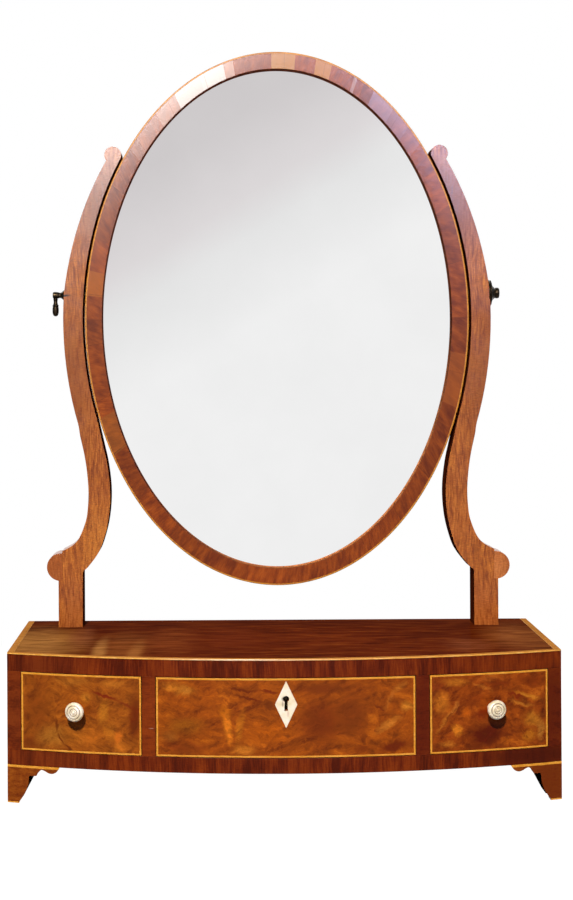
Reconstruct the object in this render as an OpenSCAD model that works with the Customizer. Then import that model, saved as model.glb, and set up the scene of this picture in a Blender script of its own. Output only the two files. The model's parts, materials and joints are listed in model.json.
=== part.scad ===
// Dressing table mirror: an oval mirror swings between two standards that stand on a
// bow-fronted box with three drawers. Millimetres, +Z up, front towards -Y.
// The origin lies on the floor under the middle of the box.

/* [Box] */
// Width of the box
base_w = 450; // [430:5:500]
// Depth of the box at its front corners
corner_d = 170; // [150:5:200]
// How far the front bows out in the middle
bow = 40; // [25:1:50]
// Height of the box from its underside to its top
carcase_h = 90.6; // [86:0.2:110]
// Thickness of the top board
top_t = 9; // [7:0.5:12]
// Thickness of the bottom board
bottom_t = 12.3; // [8:0.1:14]
// Thickness of the side boards
side_t = 11.5; // [9:0.5:14]
// Thickness of the dividers between the drawers
divider_t = 11; // [9:0.5:14]
// Thickness of the back board
back_t = 8; // [6:0.5:10]
// Height of the rail under the top board
rail_h = 5.7; // [5.2:0.1:8]
// Depth of the rail from front to back
rail_d = 20; // [18:1:30]
// Thickness of the cross-banded veneer on the box's front
facing_t = 1.5; // [1:0.1:2]
// Width of the boxwood banding round the top
banding_w = 5.5; // [3:0.5:8]
// Thickness of the boxwood banding round the top
banding_t = 1.2; // [0.8:0.1:2]
// Width of the strips that keep the drawers from tipping
kicker_w = 10; // [6:1:14]
// Width of the opening for the centre drawer
centre_w = 207; // [190:1:215]

/* [Feet] */
// Height of the feet
foot_h = 30.9; // [28:0.1:36]
// Thickness of the bracket feet
bracket_t = 10; // [8:0.5:12]
// Width of a foot where it meets the floor
toe_w = 9.7; // [8:0.1:12]
// Height of the pale strip under each foot
toe_t = 1.2; // [0.8:0.1:2]
// Height of the boxwood strip above each foot
foot_line_h = 1.9; // [1.2:0.1:2.3]
// Depth that this strip is let into the foot
foot_line_t = 1.5; // [1:0.1:2]
// Width of the blocks glued behind the feet
foot_block_w = 12; // [8:1:14]
// Length of the blocks glued behind the feet
foot_block_l = 16; // [10:1:22]

/* [Drawers] */
// Gap round a drawer front in its opening
drawer_gap = 0.5; // [0.3:0.1:1]
// Thickness of the drawer fronts
front_t = 16; // [14:0.5:19]
// Thickness of the drawer sides and backs
lining_t = 6.5; // [5:0.5:8]
// Thickness of the drawer bottoms
drawer_bottom_t = 4; // [3:0.5:5]
// Height of the drawer bottom above the lower edge of the sides
drawer_bottom_rise = 5; // [4.5:0.5:7]
// Depth of the grooves that hold the drawer bottoms
groove_d = 3; // [2:0.5:4]
// Gap that a drawer slides in, under its sides
slide_gap = 0.2; // [0.1:0.05:0.4]
// Gap between the drawer sides and the kickers
kicker_gap = 1; // [0.5:0.1:2]
// Gap between the drawers and the back board
back_gap = 2; // [1:0.5:6]
// How much lower the drawer backs are than the sides
back_drop = 3; // [1:0.5:6]
// Height of the stops behind the drawer fronts
stop_h = 3.5; // [2.5:0.1:4]
// Width of the stops
stop_w = 14; // [8:1:20]
// Thickness of the stops
stop_t = 8; // [5:0.5:12]
// Gap between a shut drawer and its stops
stop_gap = 0.3; // [0.2:0.05:0.5]
// Width of the boxwood lines on drawer fronts and mirror frame
line_w = 1.5; // [1:0.1:2.5]
// Depth that these lines are let in
line_t = 1.5; // [1:0.1:2]

/* [Knobs and lock] */
// Distance of the knobs from the middle of the box
knob_x = 165.6; // [155:0.1:180]
// Height of the knobs above the middle of the drawer fronts
knob_up = 3.4; // [-4:0.1:8]
// Diameter of the knobs
knob_d = 15.5; // [12:0.5:20]
// How far the knobs stand out
knob_l = 14; // [12:0.5:18]
// Diameter of the shank that holds a knob
knob_shank_d = 4.4; // [3.5:0.1:5.5]
// Width of the bone diamond round the keyhole
diamond_w = 17.8; // [14:0.1:24]
// Height of the bone diamond
diamond_h = 37.2; // [30:0.1:40]
// Depth of the middle of the diamond below the top of the drawer front
diamond_drop = 20.6; // [20.1:0.1:26]
// Thickness of the diamond
diamond_t = 1.5; // [1:0.1:2]
// Depth of the lock's pin below the top of the drawer front
key_drop = 16.3; // [14.5:0.1:19]
// Diameter of the round part of the keyhole
key_d = 5; // [4:0.1:6]
// Width of the slot part of the keyhole
key_slot_w = 2.6; // [2:0.1:3.2]
// Length of the slot below the pin
key_slot_l = 9.5; // [7:0.5:11]
// Diameter of the pin that the key fits over
pin_d = 2.2; // [1.5:0.1:2.6]
// Width of the lock case
lock_w = 36; // [30:1:44]
// Height of the lock case
lock_h = 29; // [26:1:34]
// Thickness of the lock case
lock_t = 8; // [6.5:0.5:9]
// Thickness of the lock's plates
lock_plate_t = 1.5; // [1:0.1:1.8]
// How deep the lock is let in below the back of the drawer front
lock_set = 0.4; // [0.1:0.1:1]
// Width of the lock bolt
bolt_w = 14; // [10:1:18]
// Thickness of the lock bolt
bolt_t = 3.6; // [3:0.1:4]
// Height of the lock bolt
bolt_h = 12; // [10:0.5:13]
// How far the lock bolt rises when it is shot
bolt_throw = 4.5; // [3:0.1:4.8]
// Gap round the lock bolt in its case
bolt_gap = 0.2; // [0.1:0.05:0.4]
// Gap round the lock bolt in the rail
mortise_gap = 0.5; // [0.3:0.1:1]
// Wood left in front of the hole for a knob's shank
knob_wood = 4; // [3:0.5:6]

/* [Mirror] */
// Width of the oval frame
oval_w = 340; // [320:2:350]
// Height of the oval frame
oval_h = 472.2; // [440:2:500]
// Gap between the box's top and the lowest point of the frame
oval_lift = 35.9; // [30:0.5:50]
// Width of the frame's face
face_w = 15.8; // [14.5:0.1:18]
// Thickness of the frame
frame_t = 20; // [18:0.5:22]
// Thickness of the cross-banded veneer on the frame's face
frame_veneer_t = 1.5; // [1:0.1:2]
// Thickness of the lip in front of the glass
lip_t = 5; // [4:0.5:7]
// How far the lip covers the glass
rebate_w = 4.6; // [3.5:0.1:5]
// Thickness of the glass plate
glass_t = 3; // [2.5:0.5:4]
// Gap round the edge of the glass
glass_gap = 0.3; // [0.2:0.1:0.6]
// Thickness of the backboard
backboard_t = 5; // [4:0.5:6]
// How far the backboard's edge lies inside the frame's edge
backboard_inset = 5; // [3:0.5:6]
// Number of screws in the backboard
backboard_screws_n = 8; // [6:1:12]
// Number of blocks that hold the glass
glazing_blocks_n = 8; // [6:1:12]
// Section of these blocks
glazing_block_w = 5; // [4:0.5:6]

/* [Standards] */
// Thickness of the standards from front to back
post_t = 27; // [24:0.5:30]
// Distance of the standards from the box's back edge
post_inset = 11.3; // [9:0.1:30]
// How far the frame's face lies behind the front of the standards
frame_set = 1.5; // [0.5:0.1:3]
// Gap between the mirror frame and the standards
post_gap = 1.9; // [1.6:0.1:3]
// Width of a standard at the pivot
post_w = 17.2; // [15:0.1:20]
// Width of a standard under its round head
post_top_w = 9.9; // [8.5:0.1:12]
// Radius of the round head
head_r = 7.5; // [6.5:0.1:9]
// Angle up the oval at which the head sits
head_at = 36.6; // [34:0.1:40]
// How far the straight shaft stands outside the widest part of the frame
shaft_set = 3; // [2:0.1:6]
// Width of the straight shaft
shaft_w = 21.4; // [20:0.1:24]
// How far the waist's inner edge swings in from the shaft's inner edge
waist_set = 24.7; // [22:0.1:27]
// Height of the waist above the box
waist_rise = 118.5; // [112:0.5:124]
// Radius of the round shoulder at the shaft's outer edge
boss_r = 12.2; // [11:0.1:13]
// How far the shoulder's middle lies inside the shaft's outer edge
boss_set = 2; // [0:0.5:4]
// Height of the shoulder's middle above the box
boss_rise = 53.1; // [50:0.1:56]
// How deep the shoulder's block is let into the shaft
shoulder_set = 3.7; // [2:0.1:5]
// Width of the stub tenon under a standard
tenon_w = 14; // [10:0.5:16]
// Depth of the tenon from front to back
tenon_d = 18; // [12:0.5:22]

/* [Swivel screws] */
// Height of the pivot above the middle of the oval
pivot_up = 21.8; // [10:0.1:40]
// Diameter of the swivel screws
swivel_d = 5; // [4:0.1:6]
// Radial gap between a swivel screw and the standard
swivel_gap = 0.1; // [0.05:0.01:0.1]
// How far the swivel screws reach into the frame's edge
swivel_reach = 7; // [5:0.1:7.5]
// Thickness of the threaded plates in the frame's edge
plate_t = 2.4; // [2:0.1:3]
// Width of these plates
plate_w = 12; // [9:0.5:14]
// Length of these plates
plate_l = 32; // [28:1:40]
// Radius of the washers between frame and standards
washer_r = 5.5; // [4.5:0.1:6.5]
// Gap between the washers and the standards
washer_gap = 0.3; // [0.2:0.05:0.5]
// Depth of the flat seats cut in the standards' outer edge
seat_depth = 0.5; // [0.4:0.1:1]
// Gap between a swivel screw's head and its seat
seat_gap = 0.1; // [0.05:0.01:0.2]
// Radius of the left screw's collar
collar_r = 4.8; // [4:0.1:6]
// Room round a swivel screw's head in its seat
seat_room = 1; // [0.5:0.1:2]
// Radius of the left screw's eye
eye_r = 2.9; // [2.6:0.1:3.5]
// Length of the left screw's drop, from the axis to its end
drop_l = 18.8; // [16:0.1:26]
// Radius of the drop's thick end
drop_r = 2.8; // [2.3:0.1:3.2]
// Radius of the right screw's rosette
rosette_r = 11.7; // [9:0.1:12.5]
// Radius of the right screw's knob
finial_r = 4.8; // [4:0.1:6]

/* [Hidden] */
// Pieces glued on a curved face keep a hair's breadth, so that their solids never cross.
glue = 0.05;
// The threaded plates and the lock bolt lie this much below the face they are let into.
flush = 0.1;
// The round heads reach this much over the standards' inner edge.
head_sink = 0.15;
// Room between the glazing blocks and the rebate
block_gap = 0.1;
// A wood screw lies in its hole with this much room, and a swivel screw in its thread.
screw_room = 0.03;
thread_room = 0.05;
bow_facets = 720;
oval_facets = 240;

y_front = -(corner_d + bow) / 2;
y_back = (corner_d + bow) / 2;
y_corner = y_front + bow;
bow_r = (pow(base_w / 2, 2) + pow(bow, 2)) / (2 * bow);
bow_y = y_front + bow_r;

z_box = foot_h;
z_top = foot_h + carcase_h;
z_under_top = z_top - top_t;
z_rail = z_under_top - rail_h;
z_floor = foot_h + bottom_t;
x_end = base_w / 2;
x_side = x_end - side_t;
x_centre = centre_w / 2;
x_divider = x_centre + divider_t;
rail_front = facing_t + glue;
rail_back = rail_front + rail_d;
y_inside = y_back - back_t;

// Drawer boxes
front_z = [z_floor + drawer_gap, z_rail - drawer_gap];
side_z = [z_floor + slide_gap, z_rail - kicker_gap];
bottom_z = side_z[0] + drawer_bottom_rise;
drawer_back_y = y_inside - back_gap;
centre_x = [-x_centre + drawer_gap, x_centre - drawer_gap];
small_x = [x_divider + drawer_gap, x_side - drawer_gap];
knob_turn = asin(knob_x / bow_r);
knob_y = bow_y - sqrt(pow(bow_r, 2) - pow(knob_x, 2));
knob_hole_l = front_t - knob_wood;
knob_z = (front_z[0] + front_z[1]) / 2 + knob_up;
diamond_z = front_z[1] - diamond_drop;
key_z = front_z[1] - key_drop;

// Lock, let into the back of the centre drawer's front
lock_back = y_front + front_t - lock_set;
lock_front = lock_back - lock_t;
lock_top = front_z[1];
bolt_y = (lock_front + lock_back - lock_plate_t) / 2;
bolt_top = lock_top - flush;
lock_screw_d = 2.4;
lock_screw_l = 5;

// Standards and mirror
half_w = oval_w / 2;
half_h = oval_h / 2;
oval_z = z_top + oval_lift + half_h;
post_y1 = y_back - post_inset;
post_y0 = post_y1 - post_t;
frame_y = post_y0 + frame_set;
frame_back = frame_y + frame_t;
rebate_inset = face_w - rebate_w;
pivot_y = frame_y + frame_t / 2;
pivot_z = oval_z + pivot_up;
shaft_in = half_w + shaft_set;
shaft_out = shaft_in + shaft_w;
boss_c = [shaft_out - boss_set, z_top + boss_rise];

// The standards' inner edge follows the frame at the gap, and the outer edge lies outside it.
edge_w = half_w + post_gap;
edge_h = half_h + post_gap;
low_at = -21.7;
pivot_at = asin(pivot_up / edge_h);
outer_x = edge_point(pivot_at)[0] + post_w;

// Where the threaded plates lie in the frame's edge, at both sides
plate_x = oval_x(pivot_up + plate_l / 2, half_w, half_h) - flush;
washer_x = oval_x(pivot_up + washer_r, edge_w, edge_h) - washer_gap;
swivel_tip = plate_x - swivel_reach;
seat_x = outer_x - seat_depth;
head_x = seat_x + seat_gap;
eye_x = head_x + 8.7;
tang_x = head_x + 9;
plate_screw_z = plate_l / 2 - 4.5;
wood_screw_r = 1.3;
wood_screw_head_r = 2.6;
plate_screw_l = 6.5;
backboard_screw_l = 11;

// Half width of an oval at a height above its middle
function oval_x(z, a, b) = a * sqrt(1 - pow(z / b, 2));

// An oval's outline, drawn in from the frame's edge by an inset
function oval(inset) = [for (i = [0 : oval_facets - 1])
    [(half_w - inset) * cos(360 * i / oval_facets), (half_h - inset) * sin(360 * i / oval_facets)]];

// A point on the standards' inner edge at an angle up the oval, and the outward direction there
function edge_point(at) = [edge_w * cos(at), edge_h * sin(at)];
function edge_normal(at) = let (n = [cos(at) / edge_w, sin(at) / edge_h]) n / norm(n);

// The standards keep their width up to the pivot and taper from there to the head.
function edge_width(at) =
    post_w - (post_w - post_top_w) * max(0, at - pivot_at) / (head_at - pivot_at);

// A smooth curve through points; its first and last points only set the end directions
function blend_point(a, b, c, d, t) =
    0.5 * (2 * b + (c - a) * t + (2 * a - 5 * b + 4 * c - d) * pow(t, 2)
    + (3 * b - a - 3 * c + d) * pow(t, 3));
function curve(points, steps) = [
    for (i = [1 : len(points) - 3])
        for (k = [0 : steps - 1])
            blend_point(points[i - 1], points[i], points[i + 1], points[i + 2], k / steps),
    points[len(points) - 2]];

// Inner edge of a standard below the mirror, from the shaft's inner edge and the box's top,
// as shares of how far the waist swings in and of its height
waist_in = [[-0.725, 1.38], [-0.907, 1.203], [-1, 1], [-0.927, 0.797], [-0.709, 0.62],
    [-0.502, 0.532], [-0.17, 0.443], [0, 0.409], [0, 0.338]];

// Outer edge from the shoulder up, from the shaft's outer edge, in the same shares
waist_out = [[-0.04, 0.568], [-0.142, 0.57], [-0.255, 0.58], [-0.53, 0.614], [-0.745, 0.665],
    [-0.931, 0.755], [-1.04, 0.844], [-1.089, 1], [-1.04, 1.157], [-0.943, 1.292],
    [-0.802, 1.426]];
function waist_point(p, x) = [x + p[0] * waist_set, z_top + p[1] * waist_rise];

edge_angles = [for (k = [0 : 24]) head_at - (head_at - low_at) * k / 24];

function post_inner() = concat(
    [for (at = edge_angles) edge_point(at) + [0, oval_z]],
    curve(concat([edge_point(low_at + 5) + [0, oval_z], edge_point(low_at) + [0, oval_z]],
        [for (p = waist_in) waist_point(p, shaft_in)]), 5));

function post_outer_point(at) = edge_point(at) + edge_normal(at) * edge_width(at) + [0, oval_z];
function post_outer() = concat(
    curve(concat([for (p = waist_out) waist_point(p, shaft_out)],
        [post_outer_point(low_at), post_outer_point(low_at + 5)]), 5),
    [for (k = [1 : 24]) post_outer_point(edge_angles[24 - k])]);

head_c = edge_point(head_at) + edge_normal(head_at) * (head_r - head_sink) + [0, oval_z];
shoulder_low = boss_c[1] - sqrt(pow(boss_r, 2) - pow(boss_set, 2));
shoulder_high = boss_c[1] + 2 * boss_r;

// The ogee of a bracket foot, as distance from the corner and height: the toe, the convex
// sweep up to the step, the notch and the small lobe
bracket_edge = [[toe_w - 2, -2.5], [toe_w, 0], [13, 4.6], [16, 10.2], [17.6, 16], [17.9, 20.8]];
bracket_lobe = [[22, 21], [24.2, 22.4], [25.6, 25], [28.3, 27.6], [31.2, 26.9], [34, 25.4],
    [37.2, 24.9], [40.4, 26.2], [42.4, 28.6], [43.4, 30.5], [44, 33]];
bracket_drawn_h = 30.5;

// A glue block stays clear of the floor, starts narrow and is full width under the box.
block_low = 3;
block_tip = 2;
block_square = 9;

// The drawn outline, stretched to the height of the feet and stopping above the pale strip
function bracket_outline() = [for (p = concat([[0, 0]], curve(bracket_edge, 4),
    [[18.2, 22.2], [21.8, 22.2]], curve(bracket_lobe, 4), [[0, bracket_drawn_h]]))
    [p[0], toe_t + p[1] * (foot_h - toe_t) / bracket_drawn_h]];

mahogany = "#8a3f1c";
flame = "#a85a20";
banded = "#6e2c14";
boxwood = "#e3a857";
pine = "#c9a26b";
bone = "#efe6cf";
dark_brass = "#3b3126";
brass = "#a5813f";

$fn = 48;

// A box between low and high values of x, y and z
module block(x, y, z) {
    translate([x[0], y[0], z[0]])
        cube([x[1] - x[0], y[1] - y[0], z[1] - z[0]]);
}

// What lies more than a depth behind the bowed front
module behind_bow(depth) {
    translate([0, bow_y, -1])
        cylinder(h = z_top + 2, r = bow_r - depth, $fn = bow_facets);
}

// A board that ends at a depth behind the bowed front
module bowed_board(x, y_end, z, depth) {
    intersection() {
        block(x, [y_front - 1, y_end], z);
        behind_bow(depth);
    }
}

// A strip that follows the bowed front between two depths
module bowed_strip(x, z, depths) {
    difference() {
        bowed_board(x, y_corner + bow, z, depths[0]);
        behind_bow(depths[1]);
    }
}

// A flat outline of x and height, given a thickness from front to back
module along_y(y) {
    translate([0, y[1], 0])
        rotate([90, 0, 0])
        linear_extrude(y[1] - y[0])
        children();
}

// A flat outline of y and height, given a thickness from side to side
module along_x(x) {
    translate([x[0], 0, 0])
        rotate([90, 0, 90])
        linear_extrude(x[1] - x[0])
        children();
}

// A turned shape about the pivot's axis, drawn as distance out and radius
module turned_out(x) {
    translate([x, pivot_y, pivot_z])
        rotate([0, 90, 0])
        rotate_extrude($fn = 64)
        children();
}

// A round bar along the pivot's axis
module pivot_bar(x, r) {
    translate([x[0], pivot_y, pivot_z])
        rotate([0, 90, 0])
        cylinder(h = x[1] - x[0], r = r);
}

// Pieces are drawn on the right and mirrored for the left.
module on_side(side) {
    if (side == "left")
        mirror([1, 0, 0]) children();
    else
        children();
}

// Box

module top_board() {
    color(mahogany)
        difference() {
            union() {
                bowed_board([-x_end, x_end], y_back, [z_under_top, z_top - banding_t], rail_front);
                bowed_board([banding_w - x_end, x_end - banding_w], y_back,
                    [z_top - banding_t, z_top], banding_w + glue);
            }
            tenon();
            mirror([1, 0, 0]) tenon();
        }
}

module top_banding() {
    z = [z_top - banding_t, z_top];
    color(boxwood) {
        bowed_strip([-x_end, x_end], z, [0, banding_w]);
        for (side = [0, 1])
            mirror([side, 0, 0])
                bowed_board([x_end - banding_w, x_end], y_back, z, banding_w + glue);
    }
}

module top_facing() {
    color(banded)
        bowed_strip([-x_end, x_end], [z_rail, z_top - banding_t], [0, facing_t]);
}

module top_rail() {
    color(pine)
        difference() {
            bowed_strip([-x_side, x_side], [z_rail, z_under_top], [rail_front, rail_back]);
            bolt_space([z_rail - 1, bolt_top + bolt_throw + mortise_gap], mortise_gap);
        }
}

module bottom_board() {
    color(pine)
        bowed_board([-x_side, x_side], y_back, [z_box, z_floor], rail_front);
}

module bottom_facing() {
    color(banded)
        bowed_strip([-x_end, x_end], [z_box, z_floor], [0, facing_t]);
}

module side_board() {
    color(mahogany)
        bowed_board([x_side, x_end], y_back, [z_box, z_under_top], rail_front);
}

module back_board() {
    color(pine)
        block([-x_side, x_side], [y_inside, y_back], [z_floor, z_under_top]);
}

module divider() {
    x = [x_centre, x_divider];
    color(pine) {
        bowed_board(x, y_inside, [z_floor, z_rail], rail_front);
        bowed_board(x, y_inside, [z_rail, z_under_top], rail_back + glue);
    }
}

module stile_facings() {
    color(banded)
        for (side = [0, 1])
            mirror([side, 0, 0]) {
                bowed_strip([x_side, x_end], [z_floor, z_rail], [0, facing_t]);
                bowed_strip([x_centre, x_divider], [z_floor, z_rail], [0, facing_t]);
            }
}

module drawer_kickers() {
    color(pine)
        for (side = [0, 1])
            mirror([side, 0, 0])
                for (x = [x_centre - kicker_w, x_divider, x_side - kicker_w])
                    bowed_board([x, x + kicker_w], y_inside, [z_rail, z_under_top],
                        rail_back + glue);
}

module drawer_stops() {
    depth = front_t + stop_gap;
    from_side = lining_t + stop_w;
    x_middles = [centre_x[1] - 2 * from_side, small_x[0] + from_side, small_x[1] - from_side];
    color(pine)
        for (side = [0, 1])
            mirror([side, 0, 0])
                for (x = x_middles)
                    bowed_strip([x - stop_w / 2, x + stop_w / 2], [z_floor, z_floor + stop_h],
                        [depth, depth + stop_t]);
}

// Feet

// Plan of the part behind the mitre at a front corner
module behind_mitre() {
    inner_y = bow_y - sqrt(pow(bow_r - bracket_t, 2) - pow(x_end - bracket_t, 2));
    along = [-bracket_t, inner_y - y_corner];
    outside = [x_end, y_corner] - along;
    inside = [x_end, y_corner] + 3 * along;
    linear_extrude(z_box)
        polygon([outside, inside, inside + [0, corner_d], outside + [0, corner_d]]);
}

module front_bracket_shape(depths) {
    difference() {
        intersection() {
            bowed_strip([0, x_end], [0, z_box], depths);
            along_y([y_front - 1, y_corner + bow])
                translate([x_end, 0])
                mirror([1, 0])
                polygon(bracket_outline());
        }
        behind_mitre();
    }
}

module side_bracket_shape(x) {
    intersection() {
        along_x(x)
            translate([y_corner, 0])
            polygon(bracket_outline());
        behind_mitre();
    }
    along_x(x)
        translate([y_back, 0])
        mirror([1, 0])
        polygon(bracket_outline());
}

// The space over the feet that their boxwood strips fill
module foot_line_space(room) {
    z = [z_box - foot_line_h, z_box + 1];
    bowed_strip([0, x_end + 1], z, [-1, foot_line_t + room]);
    block([x_end - foot_line_t, x_end + 1], [y_front, y_back + 1], z);
}

module front_bracket() {
    color(mahogany)
        difference() {
            front_bracket_shape([0, bracket_t]);
            foot_line_space(glue);
        }
}

module side_brackets() {
    color(mahogany)
        difference() {
            side_bracket_shape([x_end - bracket_t, x_end]);
            foot_line_space(glue);
        }
}

module foot_stringing() {
    color(boxwood)
        for (side = [0, 1])
            mirror([side, 0, 0])
                intersection() {
                    union() {
                        front_bracket_shape([0, foot_line_t]);
                        difference() {
                            side_bracket_shape([x_end - foot_line_t, x_end]);
                            bowed_strip([0, x_end + 1], [0, z_box + 1], [-1, foot_line_t + glue]);
                        }
                    }
                    block([0, x_end], [y_front, y_back], [z_box - foot_line_h, z_box]);
                }
}

module toe_banding() {
    z = [0, toe_t];
    color(boxwood)
        for (side = [0, 1])
            mirror([side, 0, 0]) {
                bowed_strip([x_end - toe_w, x_end], z, [0, bracket_t]);
                block([x_end - bracket_t, x_end], [y_back - toe_w, y_back], z);
            }
}

module foot_blocks() {
    x = [x_end - bracket_t, x_end - bracket_t - foot_block_w];
    outline = [[x[0], block_low], [x[0] - block_tip, block_low], [x[1], z_box - block_square],
        [x[1], z_box], [x[0], z_box]];
    color(pine)
        for (side = [0, 1])
            mirror([side, 0, 0]) {
                intersection() {
                    along_y([y_front, y_corner + bracket_t + foot_block_l])
                        polygon(outline);
                    behind_bow(bracket_t + glue);
                }
                along_y([y_back - foot_block_l, y_back])
                    polygon(outline);
            }
}

// Standards

module tenon() {
    x = (shaft_in + shaft_out) / 2;
    y = (post_y0 + post_y1) / 2;
    block([x - tenon_w / 2, x + tenon_w / 2], [y - tenon_d / 2, y + tenon_d / 2],
        [z_under_top, z_top]);
}

module standard(seat_r) {
    foot = [[shaft_in, z_top], [shaft_out, z_top], [shaft_out, boss_c[1]], boss_c];
    y = [post_y0, post_y1];
    color(mahogany)
        difference() {
            union() {
                along_y(y) polygon(concat(post_inner(), foot, post_outer(), [head_c]));
                along_y(y) translate(head_c) circle(head_r, $fn = 72);
                tenon();
            }
            block([shaft_out - shoulder_set, shaft_out + 1], y + [-1, 1],
                [shoulder_low, shoulder_high]);
            pivot_bar([half_w, outer_x + 5], swivel_d / 2 + swivel_gap);
            pivot_bar([seat_x, outer_x + 5], seat_r);
        }
}

// The shoulders are blocks glued into the outer edges of the shafts.
module standard_shoulders() {
    y = [post_y0, post_y1];
    foot = [[shaft_out, shoulder_low], boss_c];
    color(mahogany)
        for (side = [0, 1])
            mirror([side, 0, 0])
                intersection() {
                    union() {
                        along_y(y) polygon(concat([[shaft_in, shoulder_low]], foot, post_outer()));
                        along_y(y) translate(boss_c) circle(boss_r, $fn = 96);
                    }
                    block([shaft_out - shoulder_set, shaft_out + 2 * boss_r], y,
                        [shoulder_low, shoulder_high]);
                }
}

// Mirror

// A slice of the oval at an inset, between two distances from the front of the frame
module oval_slab(inset, y) {
    translate([0, 0, oval_z])
        along_y([frame_y + y[0], frame_y + y[1]])
        polygon(oval(inset));
}

module oval_ring(insets, y) {
    difference() {
        oval_slab(insets[0], y);
        oval_slab(insets[1], y + [-1, 1]);
    }
}

module mirror_frame() {
    veneer = frame_veneer_t;
    color(mahogany)
        difference() {
            oval_slab(0, [min(veneer, line_t), frame_t]);
            oval_slab(face_w, [-1, frame_t + 1]);
            oval_slab(rebate_inset, [lip_t, frame_t + 1]);
            oval_slab(line_w, [-1, veneer]);
            oval_ring([-1, line_w], [-1, line_t]);
            for (side = [0, 1])
                mirror([side, 0, 0]) {
                    plate_space();
                    pivot_bar([swivel_tip - 0.5, half_w], swivel_d / 2 + swivel_gap);
                    plate_screw_places()
                        wood_screw(plate_screw_l, screw_room);
                }
            backboard_screw_places()
                wood_screw(backboard_screw_l, screw_room);
        }
}

module frame_banding() {
    color(banded)
        oval_ring([line_w, face_w], [0, frame_veneer_t]);
}

module frame_stringing() {
    color(boxwood)
        oval_ring([0, line_w], [0, line_t]);
}

module mirror_plate() {
    color("#d8dadc")
        oval_slab(rebate_inset + glass_gap, [lip_t, lip_t + glass_t]);
}

module glazing_blocks() {
    y = [lip_t + glass_t, frame_t];
    arc = 6;
    outer = rebate_inset + block_gap;
    inner = outer + glazing_block_w;
    angles = [-arc / 2 : arc / 4 : arc / 2];
    color(pine)
        translate([0, 0, oval_z])
        for (i = [0 : glazing_blocks_n - 1])
            along_y([frame_y + y[0], frame_y + y[1]])
                polygon(concat(
                    [for (a = angles) oval_spot(360 * (i + 0.5) / glazing_blocks_n + a, outer)],
                    [for (a = angles) oval_spot(360 * (i + 0.5) / glazing_blocks_n - a, inner)]));
}

// A point at an angle round the oval, at an inset from its edge
function oval_spot(a, inset) = [(half_w - inset) * cos(a), (half_h - inset) * sin(a)];

module backboard() {
    color(pine)
        difference() {
            oval_slab(backboard_inset, [frame_t, frame_t + backboard_t]);
            backboard_screw_places()
                wood_screw(backboard_screw_l, screw_room);
        }
}

// A countersunk screw that points down from its head's flat face
module wood_screw(l, room) {
    translate([0, 0, -l - room])
        cylinder(h = l + room, r = wood_screw_r + room);
    translate([0, 0, -1.4 - room])
        cylinder(h = 1.4 + room, r1 = wood_screw_r + room, r2 = wood_screw_head_r + room);
}

// Backboard screws stand in the middle of what the backboard and the frame share.
module backboard_screw_places() {
    inset = (backboard_inset + rebate_inset) / 2;
    for (i = [0 : backboard_screws_n - 1]) {
        at = oval_spot(360 * i / backboard_screws_n + 90, inset);
        translate([at[0], frame_back + backboard_t, oval_z + at[1]])
            rotate([-90, 0, 0])
            children();
    }
}

module backboard_screws() {
    color(brass)
        backboard_screw_places()
        wood_screw(backboard_screw_l, 0);
}

module plate_space() {
    block([plate_x - plate_t, half_w + 1], [pivot_y - plate_w / 2, pivot_y + plate_w / 2],
        [pivot_z - plate_l / 2, pivot_z + plate_l / 2]);
}

module plate_screw_places() {
    for (z = [-plate_screw_z, plate_screw_z])
        translate([plate_x, pivot_y, pivot_z + z])
            rotate([0, 90, 0])
            children();
}

module pivot_plates() {
    color(brass)
        for (side = [0, 1])
            mirror([side, 0, 0])
                difference() {
                    block([plate_x - plate_t, plate_x],
                        [pivot_y - plate_w / 2, pivot_y + plate_w / 2],
                        [pivot_z - plate_l / 2, pivot_z + plate_l / 2]);
                    pivot_bar([plate_x - plate_t - 1, plate_x + 1], swivel_d / 2 + thread_room);
                    plate_screw_places()
                        wood_screw(plate_screw_l, screw_room);
                }
}

module plate_screws() {
    color(brass)
        for (side = [0, 1])
            mirror([side, 0, 0])
                plate_screw_places()
                wood_screw(plate_screw_l, 0);
}

module pivot_washers() {
    color(brass)
        for (side = [0, 1])
            mirror([side, 0, 0])
                difference() {
                    pivot_bar([plate_x, washer_x], washer_r);
                    pivot_bar([plate_x - 1, washer_x + 1], swivel_d / 2 + swivel_gap);
                }
}

// Swivel screws

module left_swivel_screw() {
    r = swivel_d / 2;
    color(dark_brass)
        mirror([1, 0, 0])
        difference() {
            union() {
                pivot_bar([swivel_tip, head_x + 1], r);
                turned_out(head_x)
                    polygon([[0, 0], [collar_r, 0], [collar_r, 0.9], [collar_r - 0.6, 1.8],
                        [r + 0.3, 3.2], [r - 0.1, 4.2], [r - 0.1, 5.4], [eye_r - 0.2, 6],
                        [eye_r, 6.6], [eye_r, 10.6], [eye_r - 0.5, 11.1], [0, 11.3]]);
            }
            translate([eye_x, pivot_y, pivot_z - eye_r - 1])
                cylinder(h = 2 * eye_r + 2, r = 1.2 + screw_room);
        }
}

module left_drop() {
    color(dark_brass)
        mirror([1, 0, 0])
        translate([eye_x, pivot_y, pivot_z])
        rotate_extrude()
        polygon([[0, eye_r], [1.2, eye_r], [1.2, -eye_r - 0.1], [2.1, -eye_r - 0.1],
            [2.1, -8.4], [drop_r, -8.9], [drop_r, -9.7], [drop_r - 0.4, -10.1],
            [drop_r, -11.2], [drop_r, 3.2 - drop_l], [drop_r - 0.5, 1.5 - drop_l],
            [drop_r - 1.3, 0.4 - drop_l], [0, -drop_l]]);
}

module right_swivel_screw() {
    color(dark_brass)
        pivot_bar([swivel_tip, tang_x], swivel_d / 2);
}

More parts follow.
